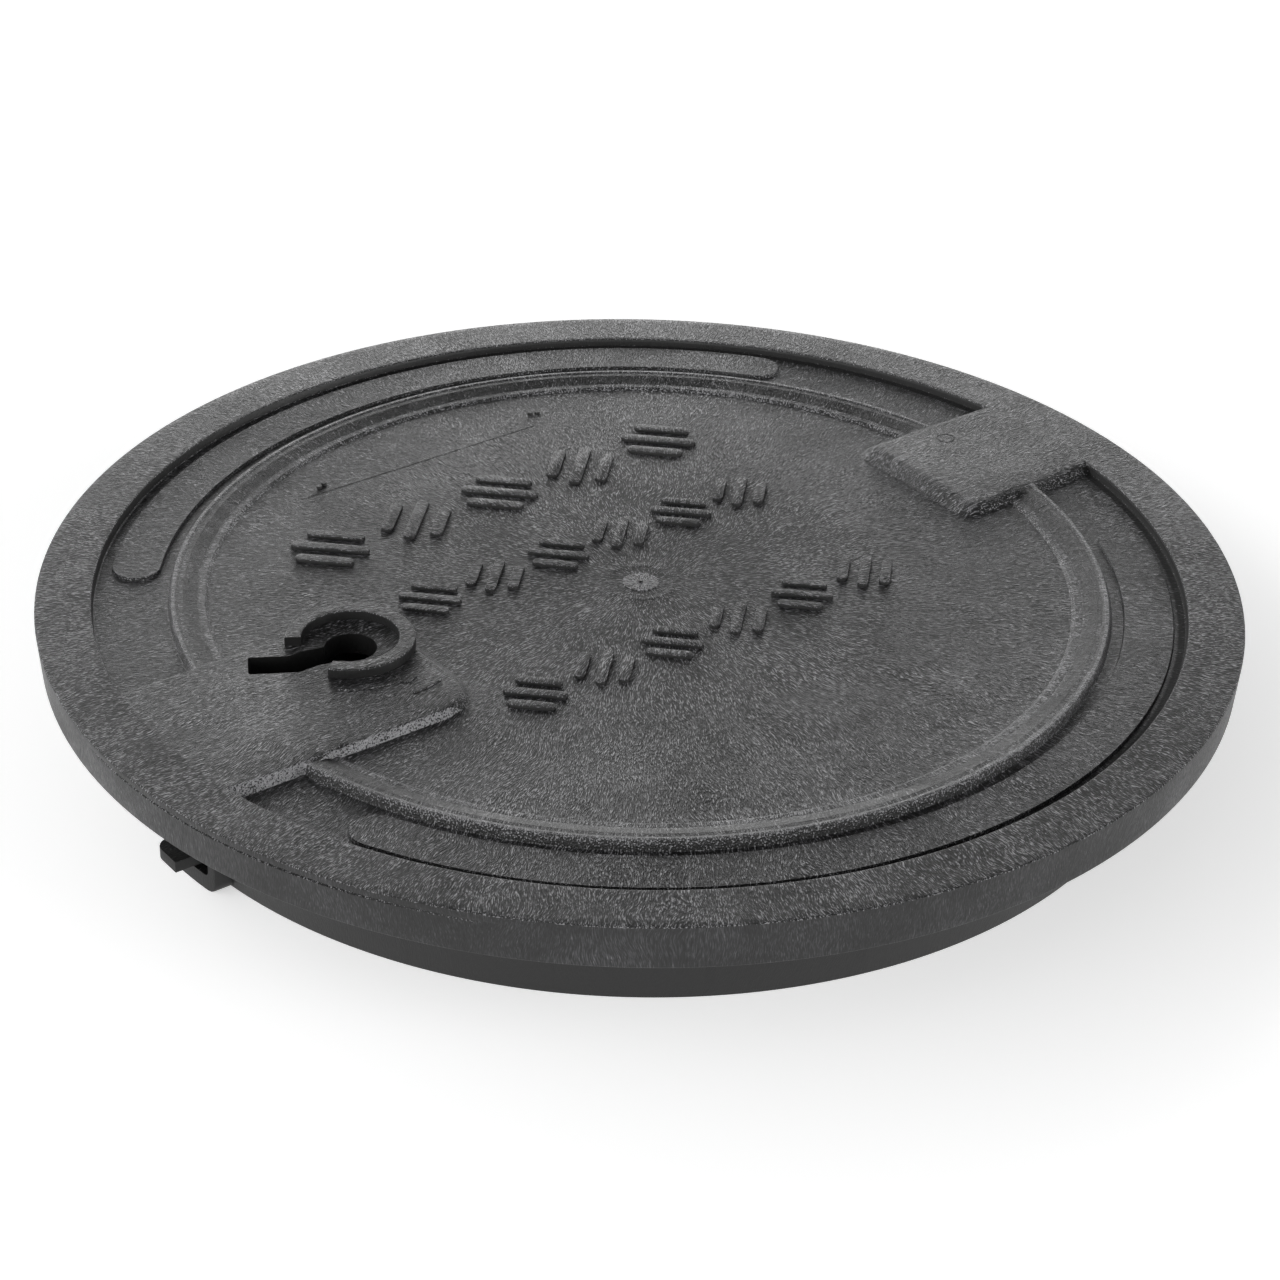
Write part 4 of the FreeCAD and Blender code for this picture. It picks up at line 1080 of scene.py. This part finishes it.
# Studio
# A wide pale floor under the cover and a surround that is bright low down and dim overhead, as a
# room with white walls is, and a camera at the picture's angle.
FLOOR_REACH = 40.0
FLOOR_COLOUR = "#f0f0f0"
FLOOR_GLOW = 0.5
UNDER_COVER = (0.27, 0.29)
corners = ((-1, -1), (1, -1), (1, 1), (-1, 1))
floor_mesh = bpy.data.meshes.new("floor")
floor_mesh.from_pydata([(x * FLOOR_REACH, y * FLOOR_REACH, 0) for x, y in corners], [],
                       [(0, 1, 2, 3)])
floor = bpy.data.objects.new("floor", floor_mesh)
bpy.context.scene.collection.objects.link(floor)
paper = bpy.data.materials.new("white_paper_sweep")
tree = empty_tree(paper)
path = add_node(tree, "LightPath").outputs
seen = add_node(tree, "Math", {0: path["Is Camera Ray"], 1: path["Is Glossy Ray"]},
                operation="MAXIMUM")
seen = add_node(tree, "Math", {0: seen, 1: path["Is Transmission Ray"]}, operation="MAXIMUM")
# under the cover the paper lies in the dark and has no glow
place = add_node(tree, "TexCoord").outputs["Object"]
away = add_node(tree, "VectorMath", {0: place}, operation="LENGTH").outputs["Value"]
away = add_node(tree, "MapRange", {"Value": away, "From Min": UNDER_COVER[0],
                                   "From Max": UNDER_COVER[1]})
seen = add_node(tree, "Math", {0: seen, 1: away}, operation="MULTIPLY")
matt = add_node(tree, "BsdfDiffuse", {"Color": linear(FLOOR_COLOUR)})
glow = add_node(tree, "Emission", {"Color": (1, 1, 1, 1), "Strength": FLOOR_GLOW})
bright = add_node(tree, "AddShader", {0: matt, 1: glow})
mixed = add_node(tree, "MixShader", {0: seen, 1: matt, 2: bright})
add_node(tree, "OutputMaterial", {"Surface": mixed})
floor.data.materials.append(paper)

CAMERA_AZIMUTH = math.radians(-37.6)
CAMERA_ELEVATION = math.radians(30.9)
CAMERA_ROLL = math.radians(1.38)
CAMERA_DISTANCE = 1716.0
CAMERA_TARGET = Vector((-44.0, -57.8, 74.0))
CAMERA_LENS = 88.9
SENSOR_WIDTH = 36.0
VIEW_REACH = 20.0
back = Vector((math.sin(CAMERA_AZIMUTH) * math.cos(CAMERA_ELEVATION),
               -math.cos(CAMERA_AZIMUTH) * math.cos(CAMERA_ELEVATION),
               math.sin(CAMERA_ELEVATION)))
right = (-back).cross(Vector((0, 0, 1))).normalized()
up = right.cross(-back)
rolled_right = right * math.cos(CAMERA_ROLL) + up * math.sin(CAMERA_ROLL)
rolled_up = up * math.cos(CAMERA_ROLL) - right * math.sin(CAMERA_ROLL)
camera_data = bpy.data.cameras.new("camera")
camera_data.sensor_width = SENSOR_WIDTH
camera_data.lens = CAMERA_LENS
camera_data.clip_end = VIEW_REACH
camera = bpy.data.objects.new("camera", camera_data)
bpy.context.scene.collection.objects.link(camera)
position = (CAMERA_TARGET + back * CAMERA_DISTANCE) * MM
camera.matrix_world = Matrix((
    (rolled_right.x, rolled_up.x, back.x, position.x),
    (rolled_right.y, rolled_up.y, back.y, position.y),
    (rolled_right.z, rolled_up.z, back.z, position.z),
    (0, 0, 0, 1),
))
bpy.context.scene.camera = camera

# The room is bright up to the first height and dim from the second, higher up on the left, and a
# wide low lamp stands to the right. Heights and the lamp's edges are parts of a unit direction.
ROOM_HEIGHTS = (0.39, 0.48)
ROOM_STRENGTHS = (2.3, 0.1)
LEFT_LEAN = 0.4
LAMP_HEIGHT = 0.16
LAMP_EDGES = (0.88, 0.97)
LAMP_STRENGTH = 4.0
world = bpy.data.worlds.new("studio")
bpy.context.scene.world = world
tree = empty_tree(world)
direction = add_node(tree, "TexCoord").outputs["Generated"]
lean = (right.x * LEFT_LEAN, right.y * LEFT_LEAN, 1.0)
height = add_node(tree, "VectorMath", {0: direction, 1: lean}, operation="DOT_PRODUCT")
room = add_node(tree, "MapRange", {"Value": height.outputs["Value"], "From Min": ROOM_HEIGHTS[0],
                                   "From Max": ROOM_HEIGHTS[1], "To Min": ROOM_STRENGTHS[0],
                                   "To Max": ROOM_STRENGTHS[1]})
lamp_side = (right * 0.94 + back * 0.34).normalized()
lamp_way = (lamp_side.x, lamp_side.y, LAMP_HEIGHT)
toward = add_node(tree, "VectorMath", {0: direction, 1: lamp_way}, operation="DOT_PRODUCT")
lamp = add_node(tree, "MapRange", {"Value": toward.outputs["Value"], "From Min": LAMP_EDGES[0],
                                   "From Max": LAMP_EDGES[1], "To Min": 0.0,
                                   "To Max": LAMP_STRENGTH})
strength = add_node(tree, "Math", {0: room, 1: lamp}, operation="ADD")
surround = add_node(tree, "Background", {"Color": (1, 1, 1, 1), "Strength": strength})
add_node(tree, "OutputWorld", {"Surface": surround})

bpy.context.scene.view_settings.view_transform = "Standard"
